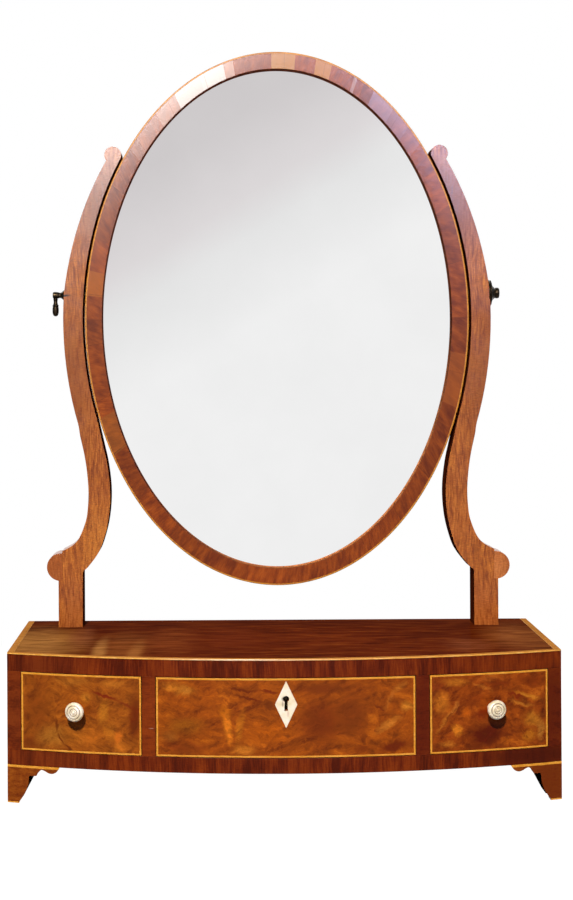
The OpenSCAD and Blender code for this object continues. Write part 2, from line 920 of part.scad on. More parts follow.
module right_rosette() {
    r = rosette_r;
    color(dark_brass)
        difference() {
            turned_out(head_x)
                polygon([[0, 0], [r, 0], [r, 1.1], [r - 0.9, 1.3], [r - 0.9, 1.7], [r - 0.2, 1.9],
                    [r - 0.4, 2.9], [r - 2.2, 3.1], [r - 4.2, 3.7], [r - 5.8, 4.7],
                    [r - 6.8, 5.9], [finial_r - 0.5, 6.7], [finial_r, 7.1], [finial_r, 9.2],
                    [finial_r - 0.4, 10], [finial_r - 1.6, 10.3], [0, 10.5]]);
            pivot_bar([head_x - 1, tang_x + screw_room], swivel_d / 2 + screw_room);
        }
}

// Drawers

// The boxwood line round a drawer front, or the rebate that it lies in
module line_frame(x, depths) {
    difference() {
        bowed_strip(x, front_z, depths);
        block([x[0] + line_w, x[1] - line_w], [y_front - 1, y_back],
            [front_z[0] + line_w, front_z[1] - line_w]);
    }
}

module drawer_front(x) {
    difference() {
        bowed_strip(x, front_z, [0, front_t]);
        line_frame(x, [-1, line_t + glue]);
    }
}

module drawer_stringing(x) {
    color(boxwood)
        line_frame(x, [0, line_t]);
}

module drawer_side(x, groove_side) {
    groove_x = groove_side > 0 ? [x[1] - groove_d, x[1] + 1] : [x[0] - 1, x[0] + groove_d];
    difference() {
        bowed_board(x, drawer_back_y, side_z, front_t + glue);
        block(groove_x, [y_front, y_back], [bottom_z, bottom_z + drawer_bottom_t]);
    }
}

module drawer_sides(x) {
    color(pine) {
        drawer_side([x[0], x[0] + lining_t], 1);
        drawer_side([x[1] - lining_t, x[1]], -1);
    }
}

module drawer_back(x) {
    color(pine)
        block([x[0] + lining_t, x[1] - lining_t], [drawer_back_y - lining_t, drawer_back_y],
            [bottom_z + drawer_bottom_t, side_z[1] - back_drop]);
}

module drawer_bottom(x) {
    in = lining_t - groove_d;
    color(pine)
        bowed_board([x[0] + in, x[1] - in], drawer_back_y,
            [bottom_z, bottom_z + drawer_bottom_t], front_t + glue);
}

module knob_place() {
    translate([knob_x, knob_y, knob_z])
        rotate([0, 0, knob_turn])
        rotate([90, 0, 0])
        children();
}

module small_drawer_front() {
    color(flame)
        difference() {
            drawer_front(small_x);
            knob_place()
                translate([0, 0, -knob_hole_l])
                cylinder(h = knob_hole_l + 5, r = knob_shank_d / 2 + glue);
        }
}

// A turned bone knob: shank, foot, neck, and a face with rings round a small button
module knob() {
    r = knob_d / 2;
    l = knob_l;
    color(bone)
        knob_place()
        rotate_extrude($fn = 64)
        polygon([[0, 0.5 - knob_hole_l], [knob_shank_d / 2, 0.5 - knob_hole_l],
            [knob_shank_d / 2, 0.05], [3.9, 0.05], [3.9, 1.3], [3.2, 2], [2.9, 4],
            [3.2, l - 7.2], [4.6, l - 6.2], [r - 0.9, l - 5.6], [r - 0.1, l - 4.6], [r, l - 3.6],
            [r - 0.2, l - 2.6], [r - 1, l - 1.7], [r - 2.2, l - 1.3], [r - 2.6, l - 1.7],
            [r - 3, l - 1.2], [r - 4.4, l - 0.7], [2.6, l - 0.6], [2.3, l - 1.1], [1.9, l - 0.5],
            [1, l - 0.1], [0, l]]);
}

module diamond_prism(w, h) {
    along_y([y_front - 1, y_front + front_t])
        polygon([[-w / 2, diamond_z], [0, diamond_z - h / 2], [w / 2, diamond_z],
            [0, diamond_z + h / 2]]);
}

module keyhole() {
    along_y([y_front - 1, lock_back])
        circle_at(key_z, key_d / 2);
    block([-key_slot_w / 2, key_slot_w / 2], [y_front - 1, lock_front + 1],
        [key_z - key_slot_l, key_z]);
}

module circle_at(z, r) {
    translate([0, z])
        circle(r);
}

module centre_drawer_front() {
    color(flame)
        difference() {
            drawer_front(centre_x);
            intersection() {
                diamond_prism(diamond_w + glue, diamond_h + glue);
                bowed_strip(centre_x, front_z, [-1, diamond_t + glue]);
            }
            keyhole();
            block([-lock_w / 2, lock_w / 2], [lock_front, y_front + front_t + 1],
                [lock_top - lock_h, lock_top + 1]);
            for (x = [-1, 1])
                lock_screw_place(x)
                    cylinder(h = lock_screw_l + screw_room, r = lock_screw_d / 2 + screw_room);
        }
}

module escutcheon() {
    color(bone)
        difference() {
            intersection() {
                diamond_prism(diamond_w, diamond_h);
                bowed_strip(centre_x, front_z, [0, diamond_t]);
            }
            keyhole();
        }
}

// The lock bolt's way up, with room round it
module bolt_space(z, room) {
    block([-bolt_w / 2 - room, bolt_w / 2 + room],
        [bolt_y - bolt_t / 2 - room, bolt_y + bolt_t / 2 + room], z);
}

// The lock is a shallow case, open towards the wood, with its pin on the back plate.
module lock_case() {
    in = lock_w / 2 - lock_plate_t - 4;
    color(brass) {
        difference() {
            block([-lock_w / 2, lock_w / 2], [lock_front, lock_back],
                [lock_top - lock_h, lock_top]);
            block([-in, in], [lock_front - 1, lock_back - lock_plate_t],
                [lock_top - lock_h + lock_plate_t, lock_top - lock_plate_t]);
            bolt_space([lock_top - lock_plate_t - 1, lock_top + 1], bolt_gap);
            for (x = [-1, 1])
                lock_screw_place(x)
                    translate([0, 0, -lock_t - 1])
                    cylinder(h = lock_t + 2, r = lock_screw_d / 2 + screw_room);
        }
        along_y([y_front + 2.5, lock_back - lock_plate_t])
            circle_at(key_z, pin_d / 2);
    }
}

// Lock screws go through the case's cheeks into the drawer front.
module lock_screw_place(side) {
    translate([side * (lock_w / 2 - 2.4), lock_front, lock_top - lock_h / 2])
        rotate([90, 0, 0])
        children();
}

module lock_screws() {
    color(brass)
        for (x = [-1, 1])
            lock_screw_place(x)
                translate([0, 0, -lock_t])
                cylinder(h = lock_t + lock_screw_l, r = lock_screw_d / 2);
}

module lock_bolt() {
    color(brass)
        block([-bolt_w / 2, bolt_w / 2], [bolt_y - bolt_t / 2, bolt_y + bolt_t / 2],
            [bolt_top - bolt_h, bolt_top]);
}

top_board();
top_banding();
top_facing();
top_rail();
bottom_board();
bottom_facing();
on_side("left") side_board();  // left_side
on_side("right") side_board();  // right_side
back_board();
on_side("left") divider();  // left_divider
on_side("right") divider();  // right_divider
stile_facings();
drawer_kickers();
drawer_stops();
on_side("left") front_bracket();  // left_front_bracket
on_side("right") front_bracket();  // right_front_bracket
on_side("left") side_brackets();  // left_side_brackets
on_side("right") side_brackets();  // right_side_brackets
foot_blocks();
foot_stringing();
toe_banding();
on_side("left") standard(collar_r + seat_room);  // left_standard
on_side("right") standard(rosette_r + seat_room);  // right_standard
standard_shoulders();
mirror_frame();
frame_banding();
frame_stringing();
mirror_plate();
glazing_blocks();
backboard();
backboard_screws();
pivot_plates();
plate_screws();
pivot_washers();
left_swivel_screw();
left_drop();
right_swivel_screw();
right_rosette();
on_side("left") small_drawer_front();  // left_drawer_front
on_side("left") drawer_stringing(small_x);  // left_drawer_stringing
on_side("left") drawer_sides(small_x);  // left_drawer_sides
on_side("left") drawer_back(small_x);  // left_drawer_back
on_side("left") drawer_bottom(small_x);  // left_drawer_bottom
on_side("left") knob();  // left_knob
on_side("right") small_drawer_front();  // right_drawer_front
on_side("right") drawer_stringing(small_x);  // right_drawer_stringing
on_side("right") drawer_sides(small_x);  // right_drawer_sides
on_side("right") drawer_back(small_x);  // right_drawer_back
on_side("right") drawer_bottom(small_x);  // right_drawer_bottom
on_side("right") knob();  // right_knob
centre_drawer_front();
drawer_stringing(centre_x);  // centre_drawer_stringing
drawer_sides(centre_x);  // centre_drawer_sides
drawer_back(centre_x);  // centre_drawer_back
drawer_bottom(centre_x);  // centre_drawer_bottom
escutcheon();
lock_case();
lock_screws();
lock_bolt();
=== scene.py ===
# %% [markdown]
# # A dressing table mirror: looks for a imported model
# The mirror is a late Georgian piece: an oval glass swings between two curved standards that
# stand on a bow-fronted box with three drawers. The solids, joints and sizes come packed, and
# this script gives them their finishes, and finer shapes where the plain solid isn't enough.

# %% Load the frame
import json
import math

import bmesh
import bpy
from mathutils import Matrix, Vector


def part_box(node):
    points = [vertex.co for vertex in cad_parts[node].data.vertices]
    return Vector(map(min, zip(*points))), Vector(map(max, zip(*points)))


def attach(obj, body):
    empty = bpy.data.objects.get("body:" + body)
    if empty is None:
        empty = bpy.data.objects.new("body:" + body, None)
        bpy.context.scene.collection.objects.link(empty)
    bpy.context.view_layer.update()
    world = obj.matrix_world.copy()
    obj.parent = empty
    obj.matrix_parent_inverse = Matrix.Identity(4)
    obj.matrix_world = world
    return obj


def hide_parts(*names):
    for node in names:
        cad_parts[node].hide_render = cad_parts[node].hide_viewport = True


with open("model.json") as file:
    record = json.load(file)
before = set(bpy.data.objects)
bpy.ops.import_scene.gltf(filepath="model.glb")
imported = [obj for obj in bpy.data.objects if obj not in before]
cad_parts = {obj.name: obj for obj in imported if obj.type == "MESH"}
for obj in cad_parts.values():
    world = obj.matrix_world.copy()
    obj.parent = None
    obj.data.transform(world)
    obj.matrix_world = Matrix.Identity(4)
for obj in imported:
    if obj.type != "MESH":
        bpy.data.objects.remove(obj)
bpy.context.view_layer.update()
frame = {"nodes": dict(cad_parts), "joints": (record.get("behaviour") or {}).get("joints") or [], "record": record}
nodes = frame["nodes"]
record = frame["record"]
body_of = {n: body for body, members in record["behaviour"]["bodies"].items() for n in members}

# %% [markdown]
# ## Sizes that come from the drawing
# Everything is in metres here and was drawn in millimetres. The box's front is an arc of a
# large circle, so one radius and one centre give the place of everything on it. The oval of
# the mirror frame needs half its width, half its height and the height of its middle.

# %% Sizes
MM = 0.001
BOW_R = 652.8125 * MM
BOW_Y = 547.8125 * MM
OVAL_A, OVAL_B = 170 * MM, 236.1 * MM
frame_low, frame_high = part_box("frame_banding")
OVAL_Z = (frame_low.z + frame_high.z) / 2
FRAME_Y = frame_low.y
PIVOT = Vector(next(j["pos_m"] for j in frame["joints"] if j["name"] == "mirror_tilt"))


def bow(x):
    """Where the bowed front lies at a distance from the middle."""
    return BOW_Y - math.sqrt(BOW_R ** 2 - x * x)


print("middle of the oval at", round(OVAL_Z / MM, 1), "mm, pivot at", round(PIVOT.z / MM, 1))

# %% [markdown]
# ## The camera
# The photograph was taken from straight in front, a little left of the middle and at half the
# mirror's height. The box's lines gave the distance, and a small shift frames it as in the
# photograph. The Standard view keeps each colour about as it is written.

# %% Camera
camera = bpy.data.objects.new("camera", bpy.data.cameras.new("camera"))
bpy.context.scene.collection.objects.link(camera)
camera.location = (-0.05218, -1.54293, 0.36805)
camera.rotation_euler = (math.pi / 2, 0.0055, 0)
camera.data.lens = 72.816
camera.data.shift_x = 0.0760
camera.data.shift_y = -0.1138
bpy.context.scene.camera = camera
bpy.context.scene.view_settings.view_transform = "Standard"
print("camera", round(-camera.location.y, 2), "m in front of the box's middle")

# %% [markdown]
# ## Helpers for materials
# A shader is a tree of nodes. One helper turns a colour as a painter writes it into the linear
# light that Blender works with. Another adds a node with its settings, and sets each of its
# inputs or joins it to the node before it.

# %% Material helpers
def linear(code):
    """A colour written as sRGB hex, in linear light."""
    parts = [int(code[i : i + 2], 16) / 255 for i in (1, 3, 5)]
    return [p / 12.92 if p <= 0.04045 else ((p + 0.055) / 1.055) ** 2.4 for p in parts] + [1]


def join(tree, node, values):
    """Sets a node's inputs to values, or joins them to sockets. A node stands for its result."""
    for name, value in values.items():
        if isinstance(value, bpy.types.Node):
            value = next(socket for socket in value.outputs if socket.enabled)
        if isinstance(value, bpy.types.NodeSocket):
            tree.links.new(value, node.inputs[name])
        else:
            node.inputs[name].default_value = value


def add(tree, kind, inputs=None, stops=(), **settings):
    """A new node with its settings, its colour ramp's stops, and its inputs."""
    node = tree.nodes.new(kind)
    for name, value in settings.items():
        setattr(node, name, value)
    for i, (at, code) in enumerate(stops):
        stop = node.color_ramp.elements[i] if i < 2 else node.color_ramp.elements.new(at)
        stop.position = at
        stop.color = linear(code)
    join(tree, node, inputs or {})
    return node


def new_material(name):
    """An empty material, its tree and its shader, already joined to the output."""
    material = bpy.data.materials.new(name)
    material.use_nodes = True
    tree = material.node_tree
    tree.nodes.clear()
    shader = add(tree, "ShaderNodeBsdfPrincipled")
    add(tree, "ShaderNodeOutputMaterial", {"Surface": shader})
    return material, tree, shader


print("a middle grey as light:", round(linear("#808080")[0], 3))

# %% [markdown]
# ## Grain
# Wood is drawn out along its grain, and no streak runs dead straight. Both come from the
# coordinates that a noise reads: stretched ones are many times longer than they are wide, and
# wandering ones are pushed about by a slower noise. They are solid, so a pattern runs through a
# piece as grain does, and shows end grain where the piece is cut across.

# %% Coordinates that follow the grain
def stretched(tree, place, along, length, across, seed=0.0):
    """Coordinates with one unit for a length along the grain and a width across it, in mm.
    A noise left at its own scale has five grains to the unit."""
    scale = [1 / ((length if axis == along else across) * MM) for axis in "XYZ"]
    return add(tree, "ShaderNodeMapping", {"Vector": place, "Scale": scale,
        "Location": (seed, seed * 1.7, seed * 0.6)})


def wandering(tree, place, size, reach, seed=0.0):
    """Coordinates that wander by up to a reach, with one bend for each size, both in mm."""
    noise = add(tree, "ShaderNodeTexNoise", {"Vector": place, "Scale": 1 / (size * MM),
        "Detail": 2, "Distortion": seed})
    away = add(tree, "ShaderNodeVectorMath", {0: noise.outputs["Color"], 1: (0.5, 0.5, 0.5)},
        operation="SUBTRACT")
    far = add(tree, "ShaderNodeVectorMath", {0: away, "Scale": 2 * reach * MM}, operation="SCALE")
    return add(tree, "ShaderNodeVectorMath", {0: place, 1: far})


print("a streak of 70 by 2.2 mm is", round(70 / 2.2), "times as long as it is wide")

# %% [markdown]
# ## Clouds and pores
# Old wood is never one even tone. Where a real board has a paler or darker place, a soft oval
# cloud is laid over the pattern, so that the model has its light and dark where the real one
# has them. Pores are the open ends of vessels, short dark dashes along the grain, and every
# mahogany shows them.

# %% Clouds and pores
CLOUD_CORE = 0.15


def spots_over(tree, colour, place, spots, broken=None):
    """Lays soft oval clouds of another tone over a colour. Each has a middle and half sizes in
    mm, a slant in degrees, a tone and a strength. A noise can break them up into feathers."""
    for x, z, half_x, half_z, slant, tone, strength in spots:
        near = add(tree, "ShaderNodeMapping", {"Vector": place, "Location": (x * MM, 0, z * MM),
            "Rotation": (0, -math.radians(slant), 0), "Scale": (half_x * MM, 1e3, half_z * MM)},
            vector_type="TEXTURE")
        far = add(tree, "ShaderNodeVectorMath", {0: near}, operation="LENGTH")
        share = add(tree, "ShaderNodeMapRange", {"Value": far, "From Min": CLOUD_CORE,
            "From Max": 1.0, "To Min": strength, "To Max": 0.0},
            interpolation_type="SMOOTHSTEP")
        if broken:
            share = add(tree, "ShaderNodeMath", {0: share, 1: broken}, operation="MULTIPLY",
                use_clamp=True)
        colour = add(tree, "ShaderNodeMix", {0: share, 6: colour, 7: linear(tone)},
            data_type="RGBA")
    return colour


def pores_over(tree, colour, place, tone, depth):
    """Lays pores over a colour, and gives their share of it too."""
    dash = add(tree, "ShaderNodeTexNoise", {"Vector": place, "Detail": 2})
    pore = add(tree, "ShaderNodeMapRange", {"Value": dash, "From Min": 0.6, "From Max": 0.72,
        "To Min": 0.0, "To Max": depth})
    colour = add(tree, "ShaderNodeMix", {0: pore, 6: colour, 7: linear(tone)}, data_type="RGBA")
    return colour, pore


print("a cloud fades out over the last", round(100 * (1 - CLOUD_CORE)), "per cent of its size")

# %% [markdown]
# ## Polished wood
# Three noises make the grain: a slow one for the change of tone that is called ribbon, a finer
# one for the streaks, and a very fine one for the fibre. A fourth, drawn out across the grain,
# gives the mottle called fiddleback. Polish is a thin clear coat, and handling leaves it uneven.
# Fibre and pore have the length and the width of five grains, in mm.

# %% Polished wood
FIBRE = (14, 0.35)
PORE = (4.5, 0.4)
MOTTLE_ACROSS, MOTTLE_ALONG = 16, 2.6
PORE_TONE, WOOD_DIRT_AND_SHADE = "#260c04", "#1d0a04"
TONE_REACH = 0.13
WANDER_SIZE = 45
SMEARS_PER_METRE = 45.0
POLISH_ROUGHNESS = 0.16


def wood(name, tones, along, level, coat, streak=2.2, ribbon=14, length=70, wander=1.5,
         seed=0.0, spots=(), contrast=1.0, pores=0.4, roughness=0.3, bump=0.1, ripple=0.06,
         lying=False, dents=()):
    """Polished wood. The tones go from dark to light. Streak, ribbon and length are the size of
    five grains in mm. Ripple is the strength of the mottle. The spots follow the grain, in an
    upright plane, or on a lying board in a level one. Dents stay where they are put."""
    material, tree, shader = new_material(name)
    place = add(tree, "ShaderNodeTexCoord").outputs["Object"]
    bent = wandering(tree, place, WANDER_SIZE, wander)
    slow = add(tree, "ShaderNodeTexNoise", {"Vector": stretched(tree, bent, along, length * 2,
        ribbon, seed), "Detail": 2, "Roughness": 0.45})
    fine = add(tree, "ShaderNodeTexNoise", {"Vector": stretched(tree, bent, along, length, streak,
        seed + 3), "Detail": 4, "Roughness": 0.55})
    fibre = add(tree, "ShaderNodeTexNoise", {"Vector": stretched(tree, place, along, *FIBRE,
        seed + 5), "Detail": 2})
    mixed = add(tree, "ShaderNodeMix", {0: 0.45, 2: slow, 3: fine})
    mixed = add(tree, "ShaderNodeMix", {0: 0.16, 2: mixed, 3: fibre})
    reach = TONE_REACH / contrast
    ramp = add(tree, "ShaderNodeValToRGB", {"Fac": mixed}, stops=[(0.5 - reach, tones[0]),
        (0.5 + reach, tones[2]), (0.5, tones[1])])
    facing = bent
    if lying:
        axes = add(tree, "ShaderNodeSeparateXYZ", {0: bent}).outputs
        facing = add(tree, "ShaderNodeCombineXYZ", {0: axes["X"], 1: axes["Z"], 2: axes["Y"]})
    broken = spots and add(tree, "ShaderNodeMapRange", {"Value": mixed, "From Min": 0.4,
        "From Max": 0.6, "To Min": 0.5, "To Max": 1.5})
    colour = spots_over(tree, ramp, facing, spots, broken)
    mottle = add(tree, "ShaderNodeTexNoise", {"Vector": stretched(tree, bent, along,
        MOTTLE_ALONG, MOTTLE_ACROSS), "Detail": 3})
    shade = add(tree, "ShaderNodeMapRange", {"Value": mottle, "From Min": 0.3,
        "From Max": 0.7, "To Min": 1 - 2 * ripple, "To Max": 1 + 2 * ripple})
    colour = add(tree, "ShaderNodeMix", {0: 1.0, 6: colour, 7: shade}, data_type="RGBA",
        blend_type="MULTIPLY")
    colour, pore = pores_over(tree, colour, stretched(tree, place, along, *PORE, seed + 7),
        PORE_TONE, pores)
    colour = spots_over(tree, colour, place, dents)
    # Darker where the mesh marks it, for dirt and for painted shade.
    grime = add(tree, "ShaderNodeAttribute", attribute_name="grime").outputs["Fac"]
    colour = add(tree, "ShaderNodeMix", {0: grime, 6: colour, 7: linear(WOOD_DIRT_AND_SHADE)},
        data_type="RGBA")
    handling = add(tree, "ShaderNodeTexNoise", {"Vector": place, "Scale": SMEARS_PER_METRE,
        "Detail": 4})
    dull = add(tree, "ShaderNodeMapRange", {"Value": handling, "From Min": 0.3,
        "From Max": 0.7, "To Min": roughness - 0.03, "To Max": roughness + 0.05})
    relief = add(tree, "ShaderNodeMath", {0: fine, 1: pore}, operation="SUBTRACT")
    raised = add(tree, "ShaderNodeBump", {"Height": relief, "Strength": bump, "Distance": 0.0002})
    join(tree, shader, {"Base Color": colour, "Roughness": dull, "Specular IOR Level": level,
        "Coat Weight": coat, "Coat Roughness": POLISH_ROUGHNESS, "Normal": raised})
    return material


print("five fibres take", FIBRE, "mm and five pores", PORE, "mm")

# %% [markdown]
# ## The box's mahogany
# One timber gives many tones. The sides and the feet are red-brown, and the polish on them has
# gone almost dull. The top's broad, warm, paler clouds at its ends are painted reflections, and
# it has dark wood in its middle.

# %% Sides, top and feet
side_wood = wood("french_polished_mahogany_sides", ("#471605", "#6e2a0a", "#8d4214"), "Y",
    level=0.2, coat=0.03)
# The pale golden clouds in the top's list are painted reflections.
top_wood_with_reflections = wood("french_polished_mahogany_top_with_painted_reflections", ("#320d03", "#521c07", "#70330f"), "X",
    streak=4.2, ribbon=26, length=80, wander=4, level=0.0, coat=0.008, pores=0.2, seed=2.0,
    contrast=0.8, ripple=0.03, lying=True, spots=[(-208, -20, 64, 120, 0, "#a06e36", 0.7),
    (-170, 10, 16, 80, 0, "#80482a", 0.5), (-132, -40, 30, 110, 0, "#80481f", 0.6),
    (-151, -62, 9, 96, -2, "#a8743a", 0.55), (-122, -72, 9, 90, -3, "#9c642e", 0.45),
    (-95, -10, 34, 110, 0, "#783c1a", 0.45),
    (-40, 10, 34, 90, 0, "#5d240c", 0.5), (205, 0, 46, 110, 0, "#8c5328", 0.6),
    (155, -40, 30, 50, 0, "#7a4326", 0.45)])
foot_wood = wood("french_polished_mahogany_feet", ("#6a2907", "#86400f", "#9f5518"), "X",
    streak=3, ribbon=12, level=0.06, coat=0.0, seed=4.0, contrast=0.8,
    spots=[(215, 15, 40, 40, 0, "#6b2806", 0.7)])
print(side_wood.name, top_wood_with_reflections.name, foot_wood.name)

# %% [markdown]
# ## The standards and the frame's core
# The standards were sawn from a lighter board and are the most polished pieces, with a mottle
# across the grain. The greyer, cooler tone at their tops is painted sheen. The left one has a
# short dark crack at the pivot. Their inner flanks were never polished, so they are dull, and
# they are painted dark as shade. The frame's edge round the glass is painted dark as shade too,
# with a pale painted highlight at the lower right. The shoulders are short blocks of straight,
# even wood. The frame's core shows only from the side, and is plain and half polished.

# %% Standards, shoulders and frame
post_wood_and_sheen = wood("french_polished_mahogany_standards_with_painted_sheen", ("#7a3810", "#a2571e", "#c4762e"), "Z",
    streak=3.2, ribbon=9, length=45, level=0.18, coat=0.1, roughness=0.2, seed=5.0,
    contrast=1.15, pores=0.15, wander=4, ripple=0.12,
    spots=[(-160, 195, 22, 50, 0, "#c87c30", 0.6),
    (163, 200, 20, 60, 0, "#b0642a", 0.4), (-180, 135, 20, 40, 0, "#a86030", 0.5),
    # The two greyer, cooler clouds high on the standards are painted sheen.
    (180, 135, 20, 40, 0, "#ac5e2c", 0.5), (-140, 490, 50, 70, 0, "#6e463c", 0.75),
    (140, 490, 50, 70, 0, "#6a4648", 0.75), (-185, 330, 30, 110, 0, "#8a4a20", 0.55),
    (185, 330, 30, 110, 0, "#8a4a20", 0.55)],
    dents=[(-187.5, 414.6, 8, 1.5, 8, "#1c0a04", 1.0)])
# Dark tones painted as shade on the standards' inner flanks.
flank_shade = wood("dull_mahogany_edges_painted_dark_as_shade", ("#361408", "#50200e", "#6a2e14"), "Z",
    streak=2.6, level=0.0, coat=0.0, roughness=0.7, seed=5.5)
# Painted dark as shade where the frame meets the glass, with a pale painted highlight at the lower right.
sight_edge_shade_and_highlight = wood("sight_edge_painted_shade_and_highlight", ("#361810", "#50281a", "#6a3a26"), "Z",
    streak=2.6, level=0.0, coat=0.0, roughness=0.7, seed=5.7,
    spots=[(90, 190, 230, 230, 0, "#a8683c", 0.95)])
shoulder_wood = wood("french_polished_mahogany_shoulders", ("#7d4216", "#a05420", "#b8713a"),
    "Z", streak=2, ribbon=7, length=20, level=0.16, coat=0.1, roughness=0.2, seed=6.5,
    contrast=0.5, pores=0.15, ripple=0.1, spots=[(186, 168, 30, 30, 0, "#c87c42", 0.8)])
rim_wood = wood("polished_mahogany_frame_core", ("#5a240f", "#7c3818", "#94491f"), "Z",
    level=0.35, coat=0.1, seed=8.0)
print(post_wood_and_sheen.name, flank_shade.name, sight_edge_shade_and_highlight.name, shoulder_wood.name, rim_wood.name)

# %% [markdown]
# ## Cross-banding
# The rails and the stiles are faced with thin mahogany whose grain runs across the band, so
# the wide soft streaks change tone from one block to the next. It was cut from redder wood
# than the feet. A tiny pale nick marks the stile right of the left drawer.

# %% Rails and stiles
rail_wood = wood("cross_banded_mahogany_rails", ("#4b1605", "#652208", "#80340d"), "Z",
    streak=6, ribbon=45, level=0.05, coat=0.0, length=110, seed=9.0, pores=0.25,
    contrast=1.5, wander=3, spots=[(205, 37, 70, 14, 0, "#401003", 0.7),
    (-190, 37, 60, 14, 0, "#7a3513", 0.45), (190, 113, 70, 12, 0, "#84370d", 0.5),
    (-195, 113, 50, 12, 0, "#642a12", 0.35)])
stile_wood = wood("cross_banded_mahogany_stiles", ("#4c1606", "#662109", "#7d330d"), "X",
    streak=6, ribbon=40, level=0.05, coat=0.0, length=90, seed=10.0, pores=0.25,
    contrast=1.5, wander=3, spots=[(-106.3, 65, 3, 0.5, 0, "#f4dcc8", 1.0),
    (-219, 75, 22, 60, 0, "#7c3613", 0.6),
    (-109, 75, 16, 60, 0, "#88390f", 0.75), (109, 75, 16, 60, 0, "#581a07", 0.6),
    (219, 75, 22, 60, 0, "#571b06", 0.6)])
print(rail_wood.name, stile_wood.name)

# %% [markdown]
# ## Oak, pine and boxwood
# Drawer linings are quartered oak, pale, open and bare. The back and the bottom are old pine
# with wide soft rings. Boxwood is so dense that it shows hardly any grain, and its lines have
# turned the colour of honey. The top's boxwood is painted browner on its level face as shade,
# and brighter on its edge with a pale painted highlight. The wood under the box is painted near
# black as shade.

# %% Linings, lines and the underside
oak = wood("quartered_oak_linings", ("#8a6236", "#a77b48", "#bd9460"), "Y", streak=1.4,
    ribbon=10, level=0.3, coat=0.0, roughness=0.6, seed=11.0, bump=0.3)
pine = wood("old_scots_pine", ("#8d5f31", "#b98a52", "#d0a56b"), "X", streak=3.2, ribbon=26,
    pores=0.1, level=0.25, coat=0.0, roughness=0.62, seed=12.0, bump=0.25, length=120)
boxwood = wood("boxwood_stringing", ("#d08a2a", "#e59e38", "#f2b150"), "X", streak=1.2,
    ribbon=8, pores=0.05, level=0.06, coat=0.0, roughness=0.36, seed=13.0, bump=0.05)
# A browner copy for the level face of the top's boxwood, painted shade.
level_boxwood_shaded = wood("boxwood_of_the_top_painted_browner_as_shade", ("#9c642a", "#ae7434", "#ba8440"), "X",
    streak=1.2, ribbon=8, pores=0.05, level=0.0, coat=0.01, roughness=0.36, seed=13.5,
    bump=0.05)
# A brighter copy for the top's edge, with a pale painted highlight in the middle.
edge_boxwood_lit = wood("boxwood_edge_of_the_top_with_painted_highlight", ("#d8942e", "#ecab42", "#f8c66c"), "X",
    streak=1.2, ribbon=8, pores=0.05, level=0.3, coat=0.1, roughness=0.3, seed=13.2, bump=0.05,
    spots=[(-30, 115, 80, 300, 0, "#fdeccb", 0.6)])
# Near black tones, painted shade for the wood under the box.
underside_shade_wood = wood("near_black_painted_shade_under_the_box", ("#0c0503", "#150a05", "#241208"), "Z", streak=3,
    level=0.0, coat=0.0, roughness=0.8, seed=14.0)
rim_boxwood = wood("boxwood_line_of_the_frame", ("#a8661a", "#cc8628", "#e09c3a"), "X",
    streak=1.2, ribbon=8, pores=0.05, level=0.1, coat=0.05, roughness=0.36, seed=13.8,
    bump=0.05)
print(oak.name, pine.name, boxwood.name, level_boxwood_shaded.name, edge_boxwood_lit.name,
    underside_shade_wood.name, rim_boxwood.name)

# %% [markdown]
# ## Bone
# Bone is fine, creamy and a little waxy, with faint brown flecks where the vessels ran. It is
# polished but not glassy, and lets a little light in. The escutcheon is stained round the
# keyhole, where fingers and the key have been.

# %% Bone
def bone_finish():
    """Polished bone, with the stains of the escutcheon laid round the keyhole."""
    material, tree, shader = new_material("polished_bone")
    place = add(tree, "ShaderNodeTexCoord").outputs["Object"]
    cloud = add(tree, "ShaderNodeTexNoise", {"Vector": place, "Scale": 160.0, "Detail": 5})
    ramp = add(tree, "ShaderNodeValToRGB", {"Fac": cloud},
        stops=[(0.32, "#ecdcb4"), (0.68, "#fff8ea"), (0.5, "#faefd6")])
    vessels = add(tree, "ShaderNodeTexNoise", {"Vector": stretched(tree, place, "Z", 2.4, 0.3),
        "Detail": 2})
    fleck = add(tree, "ShaderNodeMapRange", {"Value": vessels, "From Min": 0.62,
        "From Max": 0.74, "To Min": 0.0, "To Max": 0.35})
    colour = add(tree, "ShaderNodeMix", {0: fleck, 6: ramp,
        7: linear("#9a7d52")}, data_type="RGBA")
    grime = add(tree, "ShaderNodeAttribute", attribute_name="grime")
    colour = add(tree, "ShaderNodeMix", {0: grime.outputs["Fac"], 6: colour,
        7: linear("#7d6650")}, data_type="RGBA")
    low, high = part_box("escutcheon")
    middle = (low.z + high.z) / 2 / MM
    colour = spots_over(tree, colour, place, [
        (-2.0, middle + 4.5, 2.4, 2.4, 30, "#4a3424", 0.85),
        (-2.6, middle + 0.5, 1.4, 3.4, 0, "#6a5040", 0.6),
        (1.6, middle - 7, 1.6, 4, 0, "#d8b8a8", 0.6)])
    raised = add(tree, "ShaderNodeBump", {"Height": vessels, "Strength": 0.08, "Distance": 0.0001})
    join(tree, shader, {"Base Color": colour, "Roughness": 0.34, "Normal": raised,
        "Subsurface Weight": 0.08, "Subsurface Radius": (0.002, 0.0015, 0.001),
        "Subsurface Scale": 1.0})
    return material


bone = bone_finish()
print(bone.name)

# %% [markdown]
# ## Brass
# The swivel screws are brass that was left to go almost black, and so did the washers. The
# lock's case takes the same near black finish as painted shade, for the dark seen through the
# keyhole. Only the plates, the screws and the bolt still show a yellow metal, browned in clouds.
# A tarnished cloud is duller than a clean one, so one noise sets tone and roughness.

